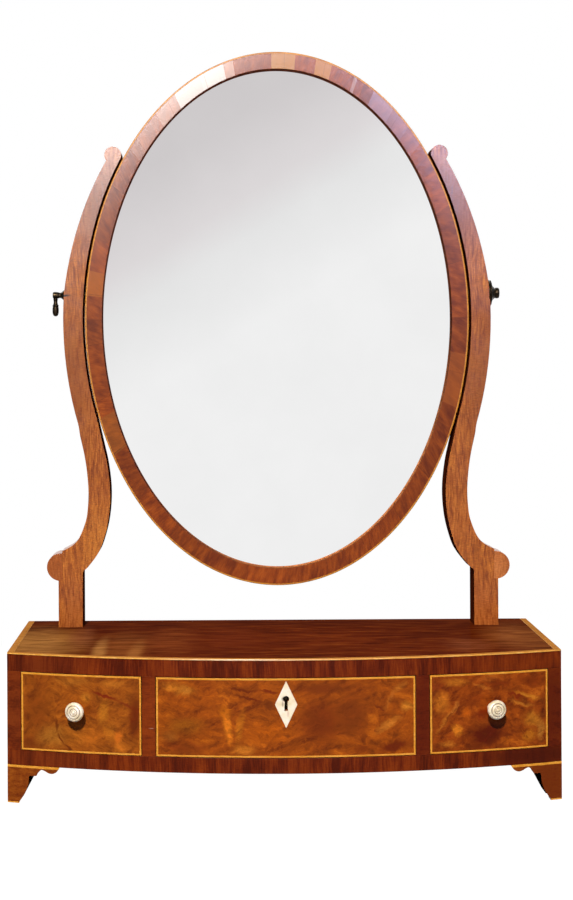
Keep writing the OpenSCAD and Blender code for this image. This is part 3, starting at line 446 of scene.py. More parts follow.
# %% Brass
def metal_finish(name, dark, light, roughness, size):
    """Tarnished metal. The size of its clouds is in mm."""
    material, tree, shader = new_material(name)
    place = add(tree, "ShaderNodeTexCoord").outputs["Object"]
    cloud = add(tree, "ShaderNodeTexNoise", {"Vector": place, "Scale": 1 / (size * MM),
        "Detail": 6, "Roughness": 0.6})
    ramp = add(tree, "ShaderNodeValToRGB", {"Fac": cloud}, stops=[(0.38, dark), (0.66, light)])
    dull = add(tree, "ShaderNodeMapRange", {"Value": cloud, "From Min": 0.3,
        "From Max": 0.7, "To Min": roughness + 0.12, "To Max": roughness - 0.08})
    raised = add(tree, "ShaderNodeBump", {"Height": cloud, "Strength": 0.15, "Distance": 0.0001})
    join(tree, shader, {"Base Color": ramp, "Metallic": 1.0, "Roughness": dull, "Normal": raised})
    return material


dark_brass = metal_finish("blackened_brass_and_painted_shade", "#0a0806", "#2e261a", 0.4, 2.2)
brass = metal_finish("old_yellow_brass", "#4a3518", "#8f6c34", 0.42, 4)
print(dark_brass.name, brass.name)

# %% [markdown]
# ## Silvered glass
# The glass is silvered at the back, so from the front it is all but a perfect mirror, and its
# back is covered with dull brown paint. It is one solid, so the finish asks how deep a point
# lies and gives silver to the front and paint to the last fraction of a millimetre.

# %% Silvered glass
PAINT = 0.4 * MM


def glass_finish():
    """A mirror in front and painted behind."""
    material, tree, shader = new_material("silvered_glass")
    place = add(tree, "ShaderNodeTexCoord").outputs["Object"]
    depth = add(tree, "ShaderNodeSeparateXYZ", {0: place})
    back = add(tree, "ShaderNodeMath", {0: depth.outputs["Y"],
        1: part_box("mirror_plate")[1].y - PAINT}, operation="GREATER_THAN")
    haze = add(tree, "ShaderNodeTexNoise", {"Vector": place, "Scale": 18.0, "Detail": 5})
    silver = add(tree, "ShaderNodeValToRGB", {"Fac": haze},
        stops=[(0.3, "#f8f8f8"), (0.7, "#fbfbfb")])
    paint = add(tree, "ShaderNodeValToRGB", {"Fac": haze},
        stops=[(0.3, "#4c2a20"), (0.7, "#6a3d2c")])
    colour = add(tree, "ShaderNodeMix", {0: back, 6: silver, 7: paint}, data_type="RGBA")
    dull = add(tree, "ShaderNodeMapRange", {"Value": back, "To Min": 0.012, "To Max": 0.6})
    shine = add(tree, "ShaderNodeMath", {0: 1.0, 1: back}, operation="SUBTRACT")
    join(tree, shader, {"Base Color": colour, "Metallic": shine, "Roughness": dull})
    return material


mirror_glass = glass_finish()
print(mirror_glass.name)

# %% [markdown]
# ## Flame veneer
# The drawer fronts are cut from a crotch, where a branch left the trunk, and no two parts of
# such a veneer look alike. Noise alone gives only its character: curls that cross the grain.
# The big forms, a golden half here and a dark arc there, are laid one by one as soft clouds
# whose edges the same noise breaks up.

# %% Flame veneer
FLAME_PORE = (22, 2.6)
FLAME_PORE_TONE = "#3a1304"


def flame(name, tones, spots, lean, seed):
    """A front's veneer. The tones go from dark to light, and its curls lean by some degrees."""
    material, tree, shader = new_material(name)
    place = add(tree, "ShaderNodeTexCoord").outputs["Object"]
    bent = wandering(tree, place, 24, 3.5, seed)
    ragged = wandering(tree, bent, 9, 1.8, seed + 1)
    cloud = add(tree, "ShaderNodeTexNoise", {"Vector": place, "Scale": 1 / (20 * MM),
        "Detail": 2, "Distortion": 1.2})
    figures = []
    for turn in (lean, -0.6 * lean):
        leaning = add(tree, "ShaderNodeMapping", {"Vector": ragged,
            "Rotation": (0, math.radians(turn), 0)})
        broad = add(tree, "ShaderNodeTexNoise", {"Vector": stretched(tree, leaning, "X", 110, 26,
            seed + turn), "Detail": 3, "Roughness": 0.45})
        hair = add(tree, "ShaderNodeTexNoise", {"Vector": stretched(tree, leaning, "X", 60, 4.5,
            seed + turn + 9), "Detail": 2})
        figures.append(add(tree, "ShaderNodeMix", {0: 0.34, 2: broad, 3: hair}))
    which = add(tree, "ShaderNodeMapRange", {"Value": cloud, "From Min": 0.46, "From Max": 0.54})
    streak = add(tree, "ShaderNodeMix", {0: which, 2: figures[0], 3: figures[1]})
    mixed = add(tree, "ShaderNodeMix", {0: 0.6, 2: cloud, 3: streak})
    ramp = add(tree, "ShaderNodeValToRGB", {"Fac": mixed}, stops=[(0.3, tones[0]),
        (0.72, tones[3]), (0.44, tones[1]), (0.57, tones[2])])
    feathers = add(tree, "ShaderNodeMapRange", {"Value": streak, "From Min": 0.38,
        "From Max": 0.62, "To Min": 0.85, "To Max": 1.6})
    colour = spots_over(tree, ramp, ragged, spots, feathers)
    shade = add(tree, "ShaderNodeMapRange", {"Value": streak, "From Min": 0.34,
        "From Max": 0.66, "To Min": 0.7, "To Max": 1.3})
    colour = add(tree, "ShaderNodeMix", {0: 1.0, 6: colour, 7: shade},
        data_type="RGBA", blend_type="MULTIPLY")
    colour, _ = pores_over(tree, colour, stretched(tree, bent, "X", *FLAME_PORE, seed + 5),
        FLAME_PORE_TONE, 0.3)
    raised = add(tree, "ShaderNodeBump", {"Height": streak, "Strength": 0.05, "Distance": 0.0001})
    join(tree, shader, {"Base Color": colour, "Roughness": 0.32, "Specular IOR Level": 0.06,
        "Coat Weight": 0.0, "Normal": raised})
    return material


print("five pores of the flame take", FLAME_PORE, "mm")

# %% [markdown]
# ## The three fronts
# The left drawer's figure sweeps round its knob, with a thin dark arc below it. The centre one
# has a bright flame left of the lock and a fan of streaks at its right end. The right one has
# streaks that rise at the left, a dark patch under the knob, and wavy light lines beyond it.

# %% The three fronts
left_flame = flame("flame_mahogany_left", ("#6d2c0a", "#8a4510", "#9a5214", "#ac621c"), [
    (-200, 75, 16, 40, 0, "#7f3d0e", 0.6), (-206, 50, 12, 10, 0, "#6b2c0a", 0.6),
    (-187, 56, 20, 13, 8, "#a26420", 0.7), (-170, 58, 13, 13, 0, "#ad621a", 0.6),
    (-150, 58, 18, 12, 20, "#a85a16", 0.6), (-184, 65, 1.6, 10, 0, "#6a2f08", 0.75),
    (-180.5, 54, 1.6, 7, 28, "#6a2f08", 0.75), (-174, 47.5, 1.6, 7, 52, "#6a2f08", 0.75),
    (-146, 77, 5, 15, -4, "#b56c1c", 0.7), (-141, 61, 6, 11, 16, "#b2661a", 0.65),
    (-135, 57, 5, 8, 0, "#c0641a", 0.6), (-133, 48, 7, 5, 0, "#c06c1e", 0.65),
    (-145, 90.5, 17, 2.2, -15, "#76280a", 0.8), (-128, 84, 11, 2.4, -18, "#7a310e", 0.7),
    (-170, 101, 20, 5, 0, "#aa651f", 0.6), (-137, 100, 13, 5, 0, "#a9621c", 0.6),
    (-120, 74, 9, 26, 0, "#6a2806", 0.8), (-160, 87, 6, 6, 0, "#b56f20", 0.6)], 35, 1.0)
centre_flame = flame("flame_mahogany_centre", ("#6a2807", "#8c410c", "#9e4d0e", "#b76416"), [
    (-86, 98, 20, 7, -8, "#b4691c", 0.7), (-80, 97, 8, 4, 0, "#c07828", 0.6),
    (-80, 68, 24, 11, 8, "#8a4e0f", 0.55), (-92, 59, 11, 7, 0, "#8a4e17", 0.6),
    (-80, 51, 26, 8, 0, "#80380d", 0.7), (-35, 97.5, 19, 1.7, -5, "#682706", 0.8),
    (-30, 91, 17, 2, -13, "#662506", 0.8), (-14, 96, 13, 2, 0, "#702a07", 0.7),
    (-13, 85, 7, 6, 0, "#6b2f08", 0.7), (-48, 79, 8, 8, 30, "#b5600f", 0.7),
    (-46, 66, 5, 16, 4, "#d2741a", 0.85), (-36, 68, 4.5, 20, -10, "#bd6c18", 0.6),
    (-34, 50, 14, 6, 0, "#bd6e20", 0.75), (-14, 64, 24, 14, 0, "#ad540c", 0.7),
    (28, 72, 26, 26, 0, "#763109", 0.8), (52, 76, 20, 24, 0, "#7c370b", 0.8),
    (30, 98, 36, 7, 0, "#78340b", 0.75), (97, 82.5, 8, 5.5, 0, "#c87a24", 0.8),
    (81, 69, 16, 4.4, 32, "#b86c22", 0.7), (83, 89, 3, 13, -26, "#ad5e1c", 0.7),
    (91, 98, 8, 4, 40, "#b4681f", 0.6), (74, 82, 8, 1.6, -20, "#7a2e08", 0.7),
    (85, 51, 18, 7, 8, "#662406", 0.85), (60, 50, 12, 5, 0, "#7b3208", 0.6)], 24, 2.0)
right_flame = flame("flame_mahogany_right", ("#561b06", "#82380b", "#95450f", "#b8661c"), [
    (124, 84, 9, 13, 0, "#bc6a1c", 0.8), (119, 97, 9, 4, 0, "#83360f", 0.6),
    (136, 100, 15, 5, 0, "#aa621a", 0.6), (127, 69, 3, 17, -33, "#b4681f", 0.6),
    (134, 78, 2.6, 12, -33, "#b86c28", 0.6), (131, 73, 1.5, 15, -33, "#773408", 0.7),
    (137, 62, 7, 7, 0, "#c6721c", 0.8), (145, 75, 6, 8, 0, "#b4560f", 0.6),
    (129, 51, 9, 4, 0, "#b56b20", 0.6), (151, 86, 13, 8, 0, "#893a0b", 0.6),
    (159, 74, 13, 7, 10, "#742607", 0.7), (162, 57, 24, 14, 0, "#541804", 0.85),
    (151, 48, 9, 4, 0, "#642607", 0.6), (158, 95, 13, 2.4, -24, "#ad5e1d", 0.7),
    (165, 102, 15, 3, 0, "#a9571b", 0.6), (172, 97, 14, 4, 0, "#762a08", 0.6),
    (198, 98, 15, 7, 0, "#793008", 0.7), (196, 86, 15, 2.8, -19, "#b8701f", 0.75),
    (191, 80.5, 15, 2.8, -17, "#b46a22", 0.7), (186, 87, 13, 2, -18, "#742807", 0.7),
    (200, 67, 11, 9, 0, "#aa671d", 0.7), (197, 54, 9, 7, 0, "#b06618", 0.7),
    (207, 58, 5, 12, 0, "#b5742a", 0.6), (180, 50, 11, 4.5, 0, "#ae5714", 0.7)], 30, 3.0)
print(left_flame.name, centre_flame.name, right_flame.name)

# %% [markdown]
# ## Lengths of veneer with a tone of their own
# Most lengths of a cross-banded oval differ by chance, but a few stand out: pale and cool ones
# at the top, which are painted highlights where the polish shines, and golden or dark ones
# beside them. Each is listed between two angles.

# %% Lengths by hand
def lengths_and_highlights_over(tree, colour, angle, lengths_and_highlights):
    """Lays lengths of another tone over a colour. Each has a start and an end in degrees round
    the oval, a tone and a strength."""
    for start, end, other, strength in lengths_and_highlights:
        after = add(tree, "ShaderNodeMath", {0: angle, 1: math.radians(start)},
            operation="GREATER_THAN")
        before = add(tree, "ShaderNodeMath", {0: angle, 1: math.radians(end)},
            operation="LESS_THAN")
        inside = add(tree, "ShaderNodeMath", {0: after, 1: before}, operation="MULTIPLY")
        share = add(tree, "ShaderNodeMath", {0: inside, 1: strength}, operation="MULTIPLY")
        colour = add(tree, "ShaderNodeMix", {0: share, 6: colour, 7: linear(other)},
            data_type="RGBA")
    return colour


print("a degree of the oval is", round(math.radians(1), 4), "radians")

# %% [markdown]
# ## The oval's cross-banded face
# The veneer on the mirror frame was cut across the grain and laid in short lengths round the
# oval. Its grain points to the middle. The shader turns each point's place into an angle round
# the oval and a distance from the middle, so that streaks run outwards, and gives every length
# of veneer its own tone with a fine joint between.

# %% Banded face
LENGTHS_PER_RADIAN = 4.6
LEAN = 0.35
JOINT_SHARE = 0.012
JOINT_TONE, FACE_DIRT_AND_SHADE = "#2c120a", "#160805"


def banded_face(lengths_and_highlights):
    """The face's veneer, with some lengths listed one by one, some of them painted highlights."""
    material, tree, shader = new_material("cross_banded_mahogany_frame_with_painted_highlights")
    place = add(tree, "ShaderNodeTexCoord").outputs["Object"]
    centred = add(tree, "ShaderNodeMapping", {"Vector": place, "Location": (0, 0, OVAL_Z),
        "Scale": (OVAL_A, 1.0, OVAL_B)}, vector_type="TEXTURE")
    parts = add(tree, "ShaderNodeSeparateXYZ", {0: centred})
    angle = add(tree, "ShaderNodeMath", {0: parts.outputs["Z"], 1: parts.outputs["X"]},
        operation="ARCTAN2")
    flat = add(tree, "ShaderNodeCombineXYZ", {0: parts.outputs["X"], 1: parts.outputs["Z"]})
    out = add(tree, "ShaderNodeVectorMath", {0: flat}, operation="LENGTH")
    steps = add(tree, "ShaderNodeMath", {0: angle, 1: LENGTHS_PER_RADIAN}, operation="MULTIPLY")
    piece = add(tree, "ShaderNodeMath", {0: steps}, operation="FLOOR")
    tone = add(tree, "ShaderNodeTexWhiteNoise", {"W": piece}, noise_dimensions="1D")
    slant = add(tree, "ShaderNodeMath", {0: out, 1: LEAN, 2: angle}, operation="MULTIPLY_ADD")
    along = add(tree, "ShaderNodeCombineXYZ", {0: slant, 1: out, 2: piece})
    slow = add(tree, "ShaderNodeTexNoise", {"Vector": add(tree, "ShaderNodeMapping",
        {"Vector": along, "Scale": (7, 3, 1.7)}), "Detail": 3})
    fine = add(tree, "ShaderNodeTexNoise", {"Vector": add(tree, "ShaderNodeMapping",
        {"Vector": along, "Scale": (110, 5, 3.1)}), "Detail": 4, "Roughness": 0.55})
    mixed = add(tree, "ShaderNodeMix", {0: 0.4, 2: slow, 3: fine})
    ramp = add(tree, "ShaderNodeValToRGB", {"Fac": mixed}, stops=[(0.37, "#6b2a0a"),
        (0.63, "#a04e16"), (0.5, "#863c0e")])
    shade = add(tree, "ShaderNodeMapRange", {"Value": tone, "To Min": 0.8, "To Max": 1.2})
    colour = add(tree, "ShaderNodeMix", {0: 1.0, 6: ramp, 7: shade},
        data_type="RGBA", blend_type="MULTIPLY")
    colour = lengths_and_highlights_over(tree, colour, angle, lengths_and_highlights)
    fraction = add(tree, "ShaderNodeMath", {0: steps}, operation="FRACT")
    joint = add(tree, "ShaderNodeMath", {0: fraction, 1: JOINT_SHARE}, operation="LESS_THAN")
    faint = add(tree, "ShaderNodeMath", {0: joint, 1: 0.3}, operation="MULTIPLY")
    colour = add(tree, "ShaderNodeMix", {0: faint, 6: colour, 7: linear(JOINT_TONE)},
        data_type="RGBA")
    # Darker where the mesh marks it, for dirt at the joint and painted shade at the lip.
    grime = add(tree, "ShaderNodeAttribute", attribute_name="grime").outputs["Fac"]
    colour = add(tree, "ShaderNodeMix", {0: grime, 6: colour, 7: linear(FACE_DIRT_AND_SHADE)},
        data_type="RGBA")
    dull = add(tree, "ShaderNodeMapRange", {"Value": grime, "To Min": 0.2, "To Max": 0.8})
    raised = add(tree, "ShaderNodeBump", {"Height": slow, "Strength": 0.02, "Distance": 0.0001})
    join(tree, shader, {"Base Color": colour, "Roughness": dull,
        "Specular IOR Level": 0.12, "Coat Weight": 0.06,
        "Coat Roughness": POLISH_ROUGHNESS, "Normal": raised})
    return material


# The pale lengths from 103 to 140 degrees and the lilac ones from 41 to 66 degrees are painted highlights.
face_wood_with_highlights = banded_face([(103, 106, "#e0c4b8", 0.4), (106, 113.5, "#f0ecec", 0.7),
    (113.5, 122, "#eeeaea", 0.65), (122, 129, "#dcc0b4", 0.35), (129, 140, "#c8a498", 0.2),
    (84, 91.3, "#b9823f", 0.8), (72.8, 77.7, "#c08440", 0.75), (64.6, 65.6, "#dcd0d8", 0.25),
    (52, 59, "#bca8c8", 0.32), (46, 52, "#ac98b8", 0.26), (41, 46, "#9c88a4", 0.2),
    (34, 38, "#5a3038", 0.35), (169.3, 174.8, "#b0641f", 0.6), (-158, -149, "#8f5a24", 0.4),
    (-20, -8, "#a85c26", 0.4)])
print(face_wood_with_highlights.name, "with about", round(LENGTHS_PER_RADIAN * math.tau), "lengths of veneer")

# %% [markdown]
# ## Which finish goes where
# Pieces that keep their solid's mesh only get a material. Each slot of the record has one
# finish, or a few where its pieces' grain runs another way. A few pieces take a dark finish as
# painted shade.

# %% Give every node its finish
SLOT_FINISH = {"mahogany": side_wood, "top_mahogany": top_wood_with_reflections, "standard_mahogany": post_wood_and_sheen,
    "shoulder_mahogany": shoulder_wood, "frame_mahogany": rim_wood, "rail_banding": rail_wood,
    "stile_banding": stile_wood, "frame_banding": face_wood_with_highlights, "flame_mahogany": centre_flame,
    "boxwood": boxwood, "pine": pine, "oak_lining": oak, "bone": bone,
    "dark_brass": dark_brass, "brass": brass, "mirror": mirror_glass}
# The lock's case takes the blackened brass as painted shade, for the dark seen through the keyhole.
OWN_FINISH = {"pivot_washers": dark_brass, "lock_case": dark_brass,
    # The foot blocks take the near black finish as painted shade.
    "frame_stringing": rim_boxwood, "foot_blocks": underside_shade_wood, "top_banding": edge_boxwood_lit,
    "left_drawer_front": left_flame, "right_drawer_front": right_flame,
    "left_front_bracket": foot_wood, "right_front_bracket": foot_wood}
slot_of = {part["node"]: part["material_slot"] for part in record["subparts"]}
for name, node in nodes.items():
    finish = OWN_FINISH.get(name, SLOT_FINISH[slot_of[name]])
    node.data.materials.clear()
    node.data.materials.append(finish)
used = {node.data.materials[0].name for node in nodes.values()}
print(len(used), "finishes on", len(nodes), "nodes")

# %% [markdown]
# ## Pieces
# Where a piece needs a modifier, a worker carries it for a moment and its result is kept as a
# plain mesh.

# %% Piece helpers
SAME_POINT = 2e-6
FLAT = math.radians(0.04)


def finished(name, mesh, node):
    """A piece with its place in its mesh, which takes the place of a node."""
    piece = bpy.data.objects.new(name, mesh)
    bpy.context.scene.collection.objects.link(piece)
    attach(piece, body_of[node])
    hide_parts(node)


def taken_from(worker, name):
    """A worker's mesh as its modifiers leave it. The worker goes."""
    evaluated = worker.evaluated_get(bpy.context.evaluated_depsgraph_get())
    result = bpy.data.meshes.new_from_object(evaluated)
    bpy.data.objects.remove(worker)
    result.name = name
    return result


def modified(mesh, name, kind, **settings):
    """The mesh with a modifier of some kind applied."""
    worker = bpy.data.objects.new("worker", mesh)
    bpy.context.scene.collection.objects.link(worker)
    modifier = worker.modifiers.new(kind.lower(), kind)
    for key, value in settings.items():
        setattr(modifier, key, value)
    return taken_from(worker, name)


def merged(node):
    """A node's mesh with its loose triangles joined and its flat faces made whole."""
    bm = bmesh.new()
    bm.from_mesh(nodes[node].data)
    bmesh.ops.remove_doubles(bm, verts=bm.verts, dist=SAME_POINT)
    bmesh.ops.dissolve_limit(bm, angle_limit=FLAT, verts=bm.verts, edges=bm.edges)
    bm.normal_update()
    return bm


print("the top board's drawn triangles:", len(nodes["top_board"].data.polygons))
whole = merged("top_board")
print("the same board in whole faces:", len(whole.faces))
whole.free()

# %% [markdown]
# ## Soft edges
# Nothing that was planed by hand and polished for two centuries has a knife edge. A copy of
# each solid that shows is merged, its flat faces are joined up, and its sharp edges are given
# a small round, which is what catches the light. The curved faces are shaded smooth. A bevel
# modifier could do it, but working on the mesh leaves nothing live for the export.

# %% Soft-edged copies
SHARP, SMOOTH = math.radians(32), math.radians(48)


def eased(bm, name, edge):
    """Rounds the sharp edges by so many mm and returns a smooth-shaded mesh."""
    edges = [e for e in bm.edges if len(e.link_faces) == 2 and e.calc_face_angle(0) > SHARP]
    if edge and edges:
        bmesh.ops.bevel(bm, geom=edges, offset=edge * MM, segments=2, profile=0.5,
            affect="EDGES", clamp_overlap=True)
    for face in bm.faces:
        face.smooth = True
    for e in bm.edges:
        e.smooth = len(e.link_faces) == 2 and e.calc_face_angle(0) < SMOOTH
    mesh = bpy.data.meshes.new(name)
    bm.to_mesh(mesh)
    bm.free()
    return modified(mesh, name, "WEIGHTED_NORMAL", keep_sharp=True, weight=90)


def soft_copy(node, edge, other=None, chosen=None):
    """A soft-edged copy. The faces that a rule picks take another finish."""
    mesh = eased(merged(node), node + "_soft", edge)
    mesh.materials.clear()
    mesh.materials.append(nodes[node].data.materials[0])
    if other:
        mesh.materials.append(other)
        for face in mesh.polygons:
            face.material_index = int(chosen(face.normal, face.center))
    finished(node + "_soft", mesh, node)


print("edges sharper than", round(math.degrees(SHARP)), "degrees are rounded")

# %% [markdown]
# ## Faces with a finish of their own
# One solid can show two finishes. The standards' inner flanks are dull and painted dark as
# shade, the backs of the front brackets are painted near black as shade, the top's boxwood is
# painted browner as shade on its level face than on its edge, and the frame is painted dark as
# shade where it meets the glass. A rule for each picks those faces by the way they look and by
# where they lie.

# %% Second finishes
def inner_flank(normal, middle):
    """Sides that look towards the mirror, and neither forwards nor up."""
    return abs(normal.y) < 0.97 and normal.z < 0.5 and normal.x * middle.x < 0


def towards_glass(normal, middle):
    """Faces that look towards the oval's middle."""
    return normal.x * middle.x + normal.z * (middle.z - OVAL_Z) < 0 and abs(normal.y) < 0.9


def not_in_front(normal, middle):
    """Faces that don't look forwards."""
    return normal.y > -0.7


def level(normal, middle):
    """Faces that look up."""
    return normal.z > 0.7


SECOND_FINISH = {"left_standard": (flank_shade, inner_flank),
    "right_standard": (flank_shade, inner_flank),
    "standard_shoulders": (flank_shade, inner_flank),
    # The backs of the front brackets take the near black finish as painted shade.
    "left_front_bracket": (underside_shade_wood, not_in_front),
    "right_front_bracket": (underside_shade_wood, not_in_front),
    "top_banding": (level_boxwood_shaded, level), "mirror_frame": (sight_edge_shade_and_highlight, towards_glass)}
print(len(SECOND_FINISH), "solids have a second finish")

# %% [markdown]
# ## How far each edge is worn
# Each number is the width of the round in mm. Thin lines and veneers have crisp edges, pieces
# that hands touch are worn rounder, and rough inner ones, such as the drawers' linings and the
# backboard, had their corners planed off.

# %% Worn edges
EDGES = {"top_board": 0.3, "top_banding": 0.35, "top_facing": 0.25, "bottom_facing": 0.3,
    "stile_facings": 0.2, "left_side": 0.4, "right_side": 0.4, "back_board": 0.4,
    "left_front_bracket": 0.35, "right_front_bracket": 0.35, "left_side_brackets": 0.35,
    "right_side_brackets": 0.35, "foot_stringing": 0.2, "toe_banding": 0.2, "foot_blocks": 0.8,
    "left_standard": 0.5, "right_standard": 0.5, "standard_shoulders": 0.5,
    "mirror_frame": 0.5, "backboard": 0.8, "glazing_blocks": 0.5, "mirror_plate": 0.3,
    "left_drawer_front": 0.25, "right_drawer_front": 0.25, "centre_drawer_front": 0.25,
    "left_drawer_stringing": 0.2, "right_drawer_stringing": 0.2,
    "centre_drawer_stringing": 0.2, "bottom_board": 0.4, "top_rail": 0.3,
    "left_drawer_bottom": 0.3, "right_drawer_bottom": 0.3, "centre_drawer_bottom": 0.3,
    "left_divider": 0.3, "right_divider": 0.3, "drawer_kickers": 0.4, "drawer_stops": 0.4,
    "escutcheon": 0.2, "left_drawer_sides": 0.6, "right_drawer_sides": 0.6,
    "centre_drawer_sides": 0.6, "left_drawer_back": 0.6, "right_drawer_back": 0.6,
    "centre_drawer_back": 0.6, "lock_case": 0.25, "lock_bolt": 0.3, "pivot_washers": 0.2,
    "pivot_plates": 0.15, "right_swivel_screw": 0.3}
for node, edge in EDGES.items():
    soft_copy(node, edge, *SECOND_FINISH.get(node, ()))
print(len(EDGES), "soft-edged copies")

# %% [markdown]
# ## Geometry Nodes
# What repeats or follows a rule is made by a tree of geometry nodes. A tree has named inputs
# for its sizes, each set by its identifier, because a name may change. It ends by making its
# copies real and giving them their finish. A worker runs it once, and what it makes is kept as
# a plain mesh.

# %% Geometry Nodes helpers
def geometry_tree(name, sockets):
    """An empty tree with named inputs, and those inputs' sockets."""
    tree = bpy.data.node_groups.new(name, "GeometryNodeTree")
    tree.is_modifier = True
    for label, kind in sockets:
        tree.interface.new_socket(label, in_out="INPUT", socket_type="NodeSocket" + kind)
    tree.interface.new_socket("Geometry", in_out="OUTPUT", socket_type="NodeSocketGeometry")
    return tree, add(tree, "NodeGroupInput").outputs


def close_tree(tree, geometry, finish):
    """Makes the geometry real, gives it its finish and sends it out."""
    real = add(tree, "GeometryNodeRealizeInstances", {0: geometry})
    painted = add(tree, "GeometryNodeSetMaterial", {0: real, "Material": finish})
    add(tree, "NodeGroupOutput", {0: painted})


def grown(tree, mesh, name, values):
    """Runs a tree on a mesh and returns what it makes as a plain mesh."""
    worker = bpy.data.objects.new("worker", mesh)
    bpy.context.scene.collection.objects.link(worker)
    modifier = worker.modifiers.new(tree.name, "NODES")
    modifier.node_group = tree
    for item in tree.interface.items_tree:
        if item.in_out == "INPUT" and item.name in values:
            modifier[item.identifier] = values[item.name]
    return taken_from(worker, name)


def wire(name, points):
    """A mesh of bare points, in mm, for a tree to read."""
    mesh = bpy.data.meshes.new(name)
    mesh.from_pydata([(x * MM, y * MM, z * MM) for x, y, z in points], [], [])
    return mesh


print("a tree starts with", len(geometry_tree("sample", [])[0].nodes), "node, its inputs")
bpy.data.node_groups.remove(bpy.data.node_groups["sample"])

# %% [markdown]
# ## The oval's mouldings, by a rule
# The veneered face and the boxwood line outside it are one section carried round an oval. The
# tree lays a grid, one column for each step round the oval and one row for each corner of the
# section, and moves every point to where the rule puts it. Its ends meet and are merged. Any
# section gives a moulding, and a finer oval is one number.

# %% A section carried round the oval
SEAM = 1e-6
oval_band, given = geometry_tree("oval_band", [("Section", "Geometry"), ("Corners", "Int"),
    ("Steps", "Int"), ("Half width", "Float"), ("Half height", "Float"),
    ("Middle height", "Float"), ("Front", "Float"), ("Finish", "Material")])
across = add(oval_band, "ShaderNodeMath", {0: given["Corners"], 1: 1.0})
around = add(oval_band, "ShaderNodeMath", {0: given["Steps"], 1: 1.0})
grid = add(oval_band, "GeometryNodeMeshGrid", {"Vertices X": around, "Vertices Y": across})
index = add(oval_band, "GeometryNodeInputIndex")
row = add(oval_band, "ShaderNodeMath", {0: index, 1: across}, operation="MODULO")
corner = add(oval_band, "ShaderNodeMath", {0: row, 1: given["Corners"]}, operation="MODULO")
column = add(oval_band, "ShaderNodeMath", {0: index, 1: across}, operation="DIVIDE")
column = add(oval_band, "ShaderNodeMath", {0: column}, operation="FLOOR")
turn = add(oval_band, "ShaderNodeMath", {0: column, 1: given["Steps"]}, operation="DIVIDE")
turn = add(oval_band, "ShaderNodeMath", {0: turn, 1: math.tau}, operation="MULTIPLY")
spot = add(oval_band, "GeometryNodeSampleIndex", {"Geometry": given["Section"],
    "Value": add(oval_band, "GeometryNodeInputPosition"), "Index": corner},
    data_type="FLOAT_VECTOR")
spot = add(oval_band, "ShaderNodeSeparateXYZ", {0: spot}).outputs
wide = add(oval_band, "ShaderNodeMath", {0: given["Half width"], 1: spot["X"]},
    operation="SUBTRACT")
tall = add(oval_band, "ShaderNodeMath", {0: given["Half height"], 1: spot["X"]},
    operation="SUBTRACT")
x = add(oval_band, "ShaderNodeMath", {0: wide, 1: add(oval_band, "ShaderNodeMath", {0: turn},
    operation="COSINE")}, operation="MULTIPLY")
z = add(oval_band, "ShaderNodeMath", {0: tall, 1: add(oval_band, "ShaderNodeMath", {0: turn},
    operation="SINE"), 2: given["Middle height"]}, operation="MULTIPLY_ADD")
y = add(oval_band, "ShaderNodeMath", {0: spot["Y"], 1: given["Front"]})
placed = add(oval_band, "GeometryNodeSetPosition", {"Geometry": grid,
    "Position": add(oval_band, "ShaderNodeCombineXYZ", {0: x, 1: y, 2: z})})
dirt_and_shade_marks = add(oval_band, "GeometryNodeStoreNamedAttribute", {"Geometry": placed,
    "Name": "grime", "Value": add(oval_band, "ShaderNodeMath", {0: spot["Z"], 1: 1 / MM},
    operation="MULTIPLY")})
closed = add(oval_band, "GeometryNodeMergeByDistance", {"Geometry": dirt_and_shade_marks, "Distance": SEAM})
close_tree(oval_band, closed, given["Finish"])
print(oval_band.name, "has", len(oval_band.nodes), "nodes")

# %% [markdown]
# ## The face and its line
# Each corner of a section also carries how dark it is painted, and the tree keeps that on the
# mesh for the finish to read: darkest at the joint of face and line, a little darker on the
# line's outer edge, and darker on the lip next to the glass, where it is painted shade. The
# face's inner edge is rounded over towards the glass and the line's outer edge is worn round, as
# fingers leave them. The lip gets the frame's sight edge finish, which is painted dark as shade.

# %% Carry the sections round
OVAL_STEPS = 480
LIP_SHADE = 0.19


def moulding(name, section, finish, node):
    """Carries a section round the oval. Each corner has its distance from the rim, its depth
    from the front and how dark it is painted, for dirt and for painted shade."""
    mesh = grown(oval_band, wire(name + "_section", section), name,
        {"Corners": len(section), "Steps": OVAL_STEPS, "Half width": OVAL_A,
         "Half height": OVAL_B, "Middle height": OVAL_Z, "Front": FRAME_Y, "Finish": finish})
    bm = bmesh.new()
    bm.from_mesh(mesh)
    bmesh.ops.recalc_face_normals(bm, faces=bm.faces)
    print(name, len(bm.faces), "faces, closed:", all(e.is_manifold for e in bm.edges))
    mesh = eased(bm, name, 0)
    mesh.materials.append(finish)
    mesh.materials.append(sight_edge_shade_and_highlight)
    dirt_and_shade_marks = mesh.attributes["grime"].data
    for face in mesh.polygons:
        face.material_index = int(all(dirt_and_shade_marks[v].value > LIP_SHADE for v in face.vertices))
    finished(name, mesh, node)


moulding("banded_oval_face", [(1.5, 0, 0.5), (1.75, 0, 0), (8, -0.03, 0), (14.6, 0, 0),
    (14.95, 0, 0.2), (15.35, 0.08, 0.2), (15.65, 0.28, 0.2), (15.8, 0.6, 0.2), (15.8, 1.5, 0.2),
    (1.5, 1.5, 0.2)], face_wood_with_highlights, "frame_banding")
moulding("oval_boxwood_line", [(1.5, 0, 0.3), (1.3, 0, 0), (0.6, 0.0, 0), (0.28, 0.08, 0.1),
    (0.08, 0.28, 0.1), (0, 0.6, 0.12), (0, 1.5, 0.14), (1.5, 1.5, 0.14)], rim_boxwood,
    "frame_stringing")

